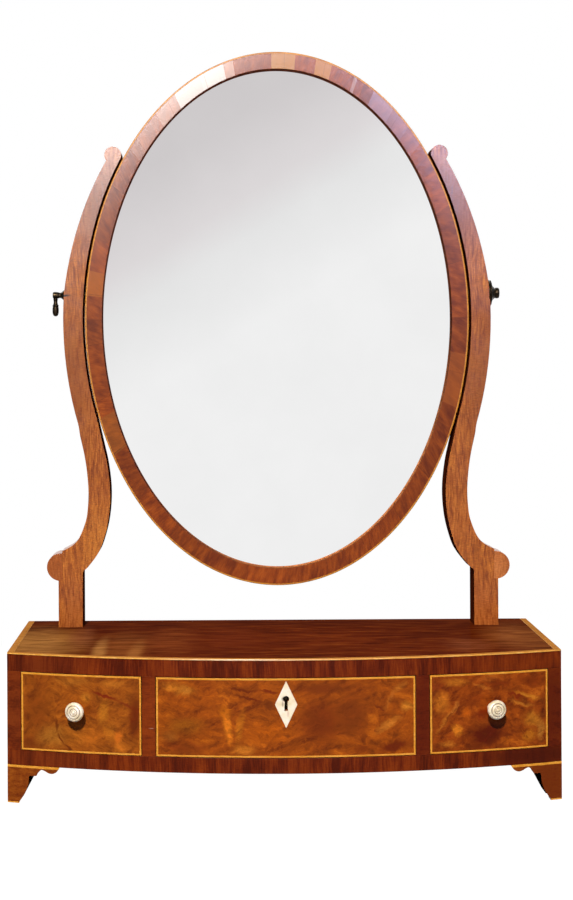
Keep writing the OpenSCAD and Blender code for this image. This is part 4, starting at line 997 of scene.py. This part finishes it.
# %% [markdown]
# ## Turned pieces
# Knobs, the rosette, the left screw and its drop were turned on a lathe: one outline goes round
# an axis. The corners of the outline are cut again and again, which leaves them as softly
# rounded as the real ones. Grooves hold old wax and dirt, so the outline carries a second number
# for it, kept on the mesh for the finish to read.

# %% Lathe
ON_AXIS, SAME_PLACE = 1e-6, 1e-8


def turned(name, outline, place, finish=None, steps=96, rounds=2):
    """A closed turned mesh from (radius, height, grime) in mm, then set in its place."""
    points = [tuple(p) + (0,) * (3 - len(p)) for p in outline]
    for _ in range(rounds):
        cut = [points[0]]
        for a, b in zip(points, points[1:]):
            for t in (0.25, 0.75):
                cut.append(tuple(u + (v - u) * t for u, v in zip(a, b)))
        points = cut + [points[-1]]
    bm = bmesh.new()
    dirt_and_shade_marks = bm.verts.layers.float.new("grime")
    rings = []
    for r, h, g in points:
        around = 1 if r < ON_AXIS else steps
        ring = [bm.verts.new((r * MM * math.cos(math.tau * k / steps),
            r * MM * math.sin(math.tau * k / steps), h * MM)) for k in range(around)]
        for v in ring:
            v[dirt_and_shade_marks] = g
        rings.append(ring)
    for a, b in zip(rings, rings[1:]):
        for k in range(steps):
            n = (k + 1) % steps
            if len(a) > 1 and len(b) > 1:
                bm.faces.new((a[k], a[n], b[n], b[k]))
            elif len(a) > 1:
                bm.faces.new((a[k], a[n], b[0]))
            elif len(b) > 1:
                bm.faces.new((a[0], b[n], b[k]))
    bmesh.ops.remove_doubles(bm, verts=bm.verts, dist=SAME_PLACE)
    bmesh.ops.transform(bm, matrix=place, verts=bm.verts)
    bmesh.ops.recalc_face_normals(bm, faces=bm.faces)
    mesh = bpy.data.meshes.new(name)
    for face in bm.faces:
        face.smooth = True
    bm.to_mesh(mesh)
    bm.free()
    if finish:
        mesh.materials.append(finish)
    print(name, len(mesh.polygons), "faces")
    return mesh


# %% [markdown]
# ## Bone knobs
# A knob has a thin neck, a full bead and a dished face with a small pip in it. Its axis stands
# square to the bowed front, so it is turned a little to its side, and its tenon goes through
# the front.

# %% Knobs
knob_low, knob_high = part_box("right_knob")
KNOB_X, KNOB_Z = 165.6 * MM, (knob_low.z + knob_high.z) / 2
KNOB = [(0, -11.5), (2.2, -11.5), (2.2, -11.4), (2.2, 0.05), (2.25, 0.05), (3.9, 0.05, 0.5),
    (3.9, 0.2, 0.4), (3.9, 1.3), (3.2, 2), (2.9, 4), (3.2, 6.8), (4.6, 7.8), (6.85, 8.4),
    (7.65, 9.4), (7.75, 10.4), (7.55, 11.4), (6.75, 12.3), (6.1, 12.6), (5.75, 12.75, 0.3),
    (5.3, 12.1, 1.0), (4.95, 12.75, 0.4), (4.5, 13.0), (3.6, 13.25), (3.3, 13.2, 0.3),
    (2.95, 12.7, 0.9), (2.6, 13.3, 0.3), (2.1, 13.45), (1.7, 13.35, 0.3), (1.5, 13.2, 0.6),
    (1.2, 13.6), (0.7, 13.9, 0.15), (0, 14, 0.2)]
for side, sign in (("left", -1), ("right", 1)):
    x = sign * KNOB_X
    lean = math.asin(KNOB_X / BOW_R) * sign
    place = (Matrix.Translation((x, bow(x), KNOB_Z)) @ Matrix.Rotation(lean, 4, "Z")
        @ Matrix.Rotation(math.pi / 2, 4, "X"))
    name = side + "_bone_knob"
    finished(name, turned(name, KNOB, place, bone), side + "_knob")

# %% [markdown]
# ## The rosette and the drop
# The right swivel screw has a dished rosette with a small knob to turn it by. The left one has
# a short drop that hangs through an eye and serves as its lever. Both lie along the pivot, the
# rosette out to the right, and are nearly black, so their outline has to tell what they are.

# %% Rosette and drop
rosette_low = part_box("right_rosette")[0]
ROSETTE = [(0, 0), (11.5, 0), (11.7, 0.2), (11.7, 1.0), (10.9, 1.3), (10.8, 1.6), (11.4, 1.9),
    (11.3, 2.8), (9.6, 3.1), (7.5, 3.7), (5.9, 4.7), (4.9, 5.9), (4.3, 6.7), (4.7, 7.0),
    (4.8, 7.4), (4.8, 9.1), (4.4, 10), (3.2, 10.3), (0, 10.5)]
out_right = (Matrix.Translation((rosette_low.x, PIVOT.y, PIVOT.z))
    @ Matrix.Rotation(math.pi / 2, 4, "Y"))
finished("dished_rosette", turned("dished_rosette", ROSETTE, out_right, dark_brass),
    "right_rosette")
drop_low, drop_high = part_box("left_drop")
DROP = [(0, 3.1), (0.9, 3.05), (1.2, 2.7), (1.2, -2.8), (1.3, -3.0), (2.0, -3.1), (2.1, -3.5),
    (1.75, -4.6), (1.7, -6.6), (2.1, -8.2), (2.7, -8.8), (2.8, -9.3), (2.7, -9.8),
    (2.35, -10.1), (2.7, -10.8), (2.8, -12), (2.8, -15.2), (2.4, -17.1), (1.5, -18.4),
    (0, -18.8)]
hang = Matrix.Translation(((drop_low.x + drop_high.x) / 2, PIVOT.y, PIVOT.z))
finished("hanging_drop", turned("hanging_drop", DROP, hang, dark_brass, steps=64), "left_drop")

# %% [markdown]
# ## The left screw
# Its shank, collar and eye are one turning, and a hole is bored through the eye for the drop. A
# solid that is cut out of another is the surest way to a clean round hole in a turned shape.

# %% Left screw
def bored(mesh, name, cutter):
    """Takes one mesh out of another."""
    tool = bpy.data.objects.new("cutter", cutter)
    bpy.context.scene.collection.objects.link(tool)
    result = modified(mesh, name, "BOOLEAN", object=tool, operation="DIFFERENCE", solver="EXACT")
    bpy.data.objects.remove(tool)
    return result


shank_low, shank_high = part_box("right_swivel_screw")
SHANK = (shank_high.z - shank_low.z) / 2 / MM
TIP = (shank_low.x - rosette_low.x) / MM
SCREW = [(0, TIP), (SHANK - 0.5, TIP), (SHANK, TIP + 0.5), (SHANK, TIP + 0.6), (SHANK, -0.05),
    (SHANK, 0), (SHANK + 0.1, 0), (4.7, 0), (4.8, 0.05), (4.8, 0.85), (4.75, 1.0), (4.2, 1.8),
    (SHANK + 0.3, 3.2), (SHANK - 0.1, 4.2), (SHANK - 0.1, 5.4), (2.7, 6.0), (2.9, 6.6),
    (2.9, 6.7), (2.9, 10.5), (2.9, 10.6), (2.4, 11.1), (0, 11.3)]
EYE_HOLE = [(0, -6), (1.23, -6), (1.23, 6), (0, 6)]
out_left = (Matrix.Translation((-rosette_low.x, PIVOT.y, PIVOT.z))
    @ Matrix.Rotation(-math.pi / 2, 4, "Y"))
eye = turned("eye_hole", EYE_HOLE, hang, steps=48, rounds=0)
turning = turned("left_screw_turning", SCREW, out_left, dark_brass)
finished("left_screw_turning", bored(turning, "left_screw_turning", eye), "left_swivel_screw")

# %% [markdown]
# ## One slotted screw
# The backboard and the brass plates are held by hand-filed screws with flat, countersunk heads.
# A screw is turned like the knobs, and a thin block is cut out of its head for the slot. The
# threads are hidden in the wood, so the shank is plain.

# %% One slotted screw
SLOT_WIDE, SLOT_DEEP = 0.55, 0.55


def slotted_screw(name, length, shank, head, depth):
    """A screw that points down from the face of its head, sizes in mm."""
    body = turned(name, [(0, -length), (shank, -length), (shank, -depth), (head, -0.08),
        (head, 0), (0, 0)], Matrix(), steps=40, rounds=0)
    bm = bmesh.new()
    bmesh.ops.create_cube(bm, size=1)
    bmesh.ops.scale(bm, vec=(3 * head * MM, SLOT_WIDE * MM, 2 * SLOT_DEEP * MM), verts=bm.verts)
    slot = bpy.data.meshes.new("slot")
    bm.to_mesh(slot)
    bm.free()
    return bored(body, name, slot)


wood_screw = slotted_screw("wood_screw", 11, 1.3, 2.6, 1.4)
plate_screw = slotted_screw("plate_screw", 6.5, 1.3, 2.6, 1.4)

# %% [markdown]
# ## Screws, by a rule
# The tree sets a screw at every point that it is given, turns its head outwards, and turns its
# slot by chance, as a real hand leaves it. The seed keeps the same turns at every run.

# %% A screw at every point
set_screws, given = geometry_tree("screws_at_points", [("Places", "Geometry"),
    ("Screw", "Object"), ("Direction", "Vector"), ("Seed", "Int"), ("Finish", "Material")])
shape = add(set_screws, "GeometryNodeObjectInfo", {"Object": given["Screw"]})
by_chance = add(set_screws, "FunctionNodeRandomValue", {"Seed": given["Seed"]}, data_type="FLOAT")
spin = add(set_screws, "ShaderNodeMath", {0: by_chance, 1: math.pi}, operation="MULTIPLY")
facing_out = add(set_screws, "FunctionNodeAlignRotationToVector", {"Vector": given["Direction"]})
turned_slot = add(set_screws, "FunctionNodeRotateRotation", {"Rotation": facing_out,
    "Rotate By": add(set_screws, "FunctionNodeAxisAngleToRotation", {"Axis": (0, 0, 1),
    "Angle": spin})}, rotation_space="LOCAL")
put = add(set_screws, "GeometryNodeInstanceOnPoints", {"Points": given["Places"],
    "Instance": shape.outputs["Geometry"], "Rotation": turned_slot})
close_tree(set_screws, put, given["Finish"])
print(set_screws.name, "has", len(set_screws.nodes), "nodes")

# %% [markdown]
# ## Where the screws go
# The drawing has a plain screw at every place, all in one node's mesh. The mesh is taken apart
# into its loose parts, and the middle of each part's outer face is where a head lies.

# %% Find the places
def places(node, axis, outward):
    """The middle of each loose part of a node's mesh, on the face where its heads lie. They are
    sorted, so that each screw gets the same turn at every run."""
    bm = merged(node)
    left, spots = set(bm.verts), []
    while left:
        part, queue = [], [left.pop()]
        while queue:
            v = queue.pop()
            part.append(v.co.copy())
            for e in v.link_edges:
                other = e.other_vert(v)
                if other in left:
                    left.remove(other)
                    queue.append(other)
        low = [min(c[i] for c in part) for i in range(3)]
        high = [max(c[i] for c in part) for i in range(3)]
        spot = [(a + b) / 2 for a, b in zip(low, high)]
        spot[axis] = high[axis] if outward > 0 else low[axis]
        spots.append(spot)
    bm.free()
    return sorted(spots)


back_places = places("backboard_screws", 1, 1)
side_places = {s: [p for p in places("plate_screws", 0, s) if p[0] * s > 0] for s in (-1, 1)}
print(len(back_places), "screws behind,", len(side_places[-1]), "left,", len(side_places[1]),
    "right")

# %% [markdown]
# ## Set the screws
# The tree runs once for each direction, with a seed of its own, and the results become one mesh
# for the body. The lock's two screws are too small to show a slot, so they keep their solid's
# mesh.

# %% Set the screws
FIRST_SEED = 3


def screws(node, mesh, groups):
    """Sets a screw at every place of the groups, given as direction and points in metres."""
    model = bpy.data.objects.new("one_screw", mesh)
    bpy.context.scene.collection.objects.link(model)
    bm = bmesh.new()
    for seed, (direction, points) in enumerate(groups, FIRST_SEED):
        some = grown(set_screws, wire("places", [tuple(v / MM for v in p) for p in points]),
            "some", {"Screw": model, "Direction": direction, "Seed": seed, "Finish": brass})
        bm.from_mesh(some)
    mesh = bpy.data.meshes.new(node + "_slotted")
    bm.to_mesh(mesh)
    bm.free()
    for face in mesh.polygons:
        face.use_smooth = False
    bpy.data.objects.remove(model)
    print(node, len(mesh.polygons), "faces")
    mesh.materials.append(brass)
    finished(node + "_slotted", mesh, node)


screws("backboard_screws", wood_screw, [((0, 1, 0), back_places)])
screws("plate_screws", plate_screw, [((s, 0, 0), side_places[s]) for s in (-1, 1)])

# %% [markdown]
# ## The lamps
# A fairly hard key lamp stands high in front, left of the middle, and throws the knobs' shadows
# down. Three lamps a side stand lower in front and give glare only, which grows towards the top
# of the standards and of the frame, warm on the left and cool on the right. One more gives the
# frame's upper left its brightest patch. Two weak ones behind keep the back from going black. A
# glare lamp's power is its shine times pi times its area, so its size can change on its own.

# %% Lamps
GLARE_Y, GLARE_MIDDLE = -2.62, 0.087


def aimed(name, at, target, size, power, colour, height=None, roll=0, glare_only=False):
    """A lamp with its size in metres, its power in watts and its roll in degrees."""
    lamp = bpy.data.lights.new(name, "AREA")
    lamp.shape = "RECTANGLE"
    lamp.size = size
    lamp.size_y = height or size
    lamp.energy = power
    lamp.color = linear(colour)[:3]
    body = bpy.data.objects.new(name, lamp)
    bpy.context.scene.collection.objects.link(body)
    body.location = at
    turn = (Vector(target) - Vector(at)).to_track_quat("-Z", "Y").to_matrix()
    body.rotation_euler = (turn @ Matrix.Rotation(math.radians(roll), 3, "Z")).to_euler()
    body.visible_diffuse = not glare_only


aimed("key", (-0.6, -4.6, 3.75), (0, 0, 0.1), 0.3, 400, "#fff6ec")
for side, sign, strength, colours in (("left", -1, 0.82, ("#fff6f4",) * 3),
        ("right", 1, 1.0, ("#f4e6ee", "#d4d0f4", "#d0d0f8"))):
    for (part, out, up, size, height, roll, shine), colour in zip((
            ("top", 0.2, 1.22, 0.4, 0.26, 0, 21), ("slant", 0.39, 1.09, 0.42, 0.3, -45, 51),
            ("side", 0.64, 1.1, 0.5, 0.64, 0, 53)), colours):
        at = (GLARE_MIDDLE + sign * out, GLARE_Y, up)
        aimed(f"glare_{part}_{side}", at, (at[0] / 2, 0.07, 0.5), size,
            strength * shine * math.pi * size * height, colour, height, sign * roll, True)
aimed("glare_peak", (-0.23, GLARE_Y, 1.17), (-0.1, 0.07, 0.6), 0.42,
    75 * math.pi * 0.42 * 0.36, "#fffaf8", 0.36, 38, True)
for side, x in (("left", -1.9), ("right", 1.9)):
    aimed("back_" + side, (x, 2.6, 2.6), (0, 0.05, 0.3), 1.2, 45, "#fff8f2")
print(len(bpy.data.lights), "lamps")

# %% [markdown]
# ## The world
# The photograph is cut out on white. The world is white on the side that the camera looks at,
# and on the camera's own side it is a pale room, greyer upwards, which the glass shows. Camera
# rays and reflections see it. To all others it is almost dark, so the lamps light the object.

# %% World
def backdrop_rays(tree):
    """One for camera, glossy and transmission rays, which see the backdrop, nought for others."""
    rays = add(tree, "ShaderNodeLightPath").outputs
    shown = add(tree, "ShaderNodeMath", {0: rays["Is Glossy Ray"],
        1: rays["Is Transmission Ray"]}, operation="MAXIMUM")
    return add(tree, "ShaderNodeMath", {0: shown, 1: rays["Is Camera Ray"]}, operation="MAXIMUM")


world = bpy.data.worlds.new("studio")
bpy.context.scene.world = world
world.use_nodes = True
tree = world.node_tree
tree.nodes.clear()
direction = add(tree, "ShaderNodeTexCoord").outputs["Generated"]
slope = add(tree, "ShaderNodeVectorMath", {0: direction, 1: (-0.6, 0, 1)}, operation="DOT_PRODUCT")
room = add(tree, "ShaderNodeValToRGB", {"Fac": slope}, stops=[
    (0.0, "#f4f4f4"), (0.12, "#d3cfd0"), (0.05, "#eaeaea"), (0.074, "#e0dcdd"),
    (0.4, "#c2bebf")])
front = add(tree, "ShaderNodeSeparateXYZ", {0: direction})
facing = add(tree, "ShaderNodeMath", {0: front.outputs["Y"], 1: 0.0}, operation="LESS_THAN")
seen = add(tree, "ShaderNodeMix", {0: facing, 6: (1, 1, 1, 1), 7: room}, data_type="RGBA")
glow = add(tree, "ShaderNodeBackground", {"Color": seen, "Strength": 1.0})
fill = add(tree, "ShaderNodeBackground", {"Color": linear("#e8e6e4"), "Strength": 0.08})
both = add(tree, "ShaderNodeMixShader", {0: backdrop_rays(tree), 1: fill, 2: glow})
add(tree, "ShaderNodeOutputWorld", {"Surface": both})
print(world.name, "has", len(tree.nodes), "nodes")

# %% [markdown]
# ## The floor
# A floor of matt paper catches the lamps' light and the object's shadow. A glow of its own, seen
# by the same rays as the world, lifts it to white. Near the object only half of what is seen is
# that glow, so the shadow stays. Far in front, where the glass mirrors it, it is a little greyer.

# %% Floor
NEAR, FAR = 0.3, 0.8
floor_mesh = bpy.data.meshes.new("floor")
bm = bmesh.new()
bmesh.ops.create_grid(bm, x_segments=8, y_segments=8, size=6)
bm.to_mesh(floor_mesh)
bm.free()
floor = bpy.data.objects.new("floor", floor_mesh)
bpy.context.scene.collection.objects.link(floor)
material, tree, shader = new_material("white_paper_floor")
place = add(tree, "ShaderNodeTexCoord").outputs["Object"]
fibres = add(tree, "ShaderNodeTexNoise", {"Vector": place, "Scale": 300.0, "Detail": 3})
paper = add(tree, "ShaderNodeValToRGB", {"Fac": fibres},
    stops=[(0.2, "#686868"), (0.8, "#707070")])
join(tree, shader, {"Base Color": paper, "Roughness": 0.9, "Specular IOR Level": 0.0})
depth = add(tree, "ShaderNodeSeparateXYZ", {0: place})
room = add(tree, "ShaderNodeMapRange", {"Value": depth.outputs["Y"], "From Min": -1.4,
    "From Max": -0.6, "To Min": 0.905, "To Max": 1.0})
away = add(tree, "ShaderNodeVectorMath", {0: place}, operation="LENGTH")
share = add(tree, "ShaderNodeMapRange", {"Value": away, "From Min": NEAR, "From Max": FAR,
    "To Min": 0.5, "To Max": 1.0}, interpolation_type="SMOOTHSTEP")
bright = add(tree, "ShaderNodeMapRange", {"Value": away, "From Min": NEAR, "From Max": FAR,
    "To Min": 2.02, "To Max": 1.0}, interpolation_type="SMOOTHSTEP")
bright = add(tree, "ShaderNodeMath", {0: bright, 1: room}, operation="MULTIPLY")
lift = add(tree, "ShaderNodeEmission", {"Color": (1, 1, 1, 1), "Strength": bright})
share = add(tree, "ShaderNodeMath", {0: share, 1: backdrop_rays(tree)}, operation="MULTIPLY")
mix = add(tree, "ShaderNodeMixShader", {0: share, 1: shader, 2: lift})
join(tree, next(n for n in tree.nodes if n.type == "OUTPUT_MATERIAL"), {"Surface": mix})
floor_mesh.materials.append(material)
print("floor of", material.name)
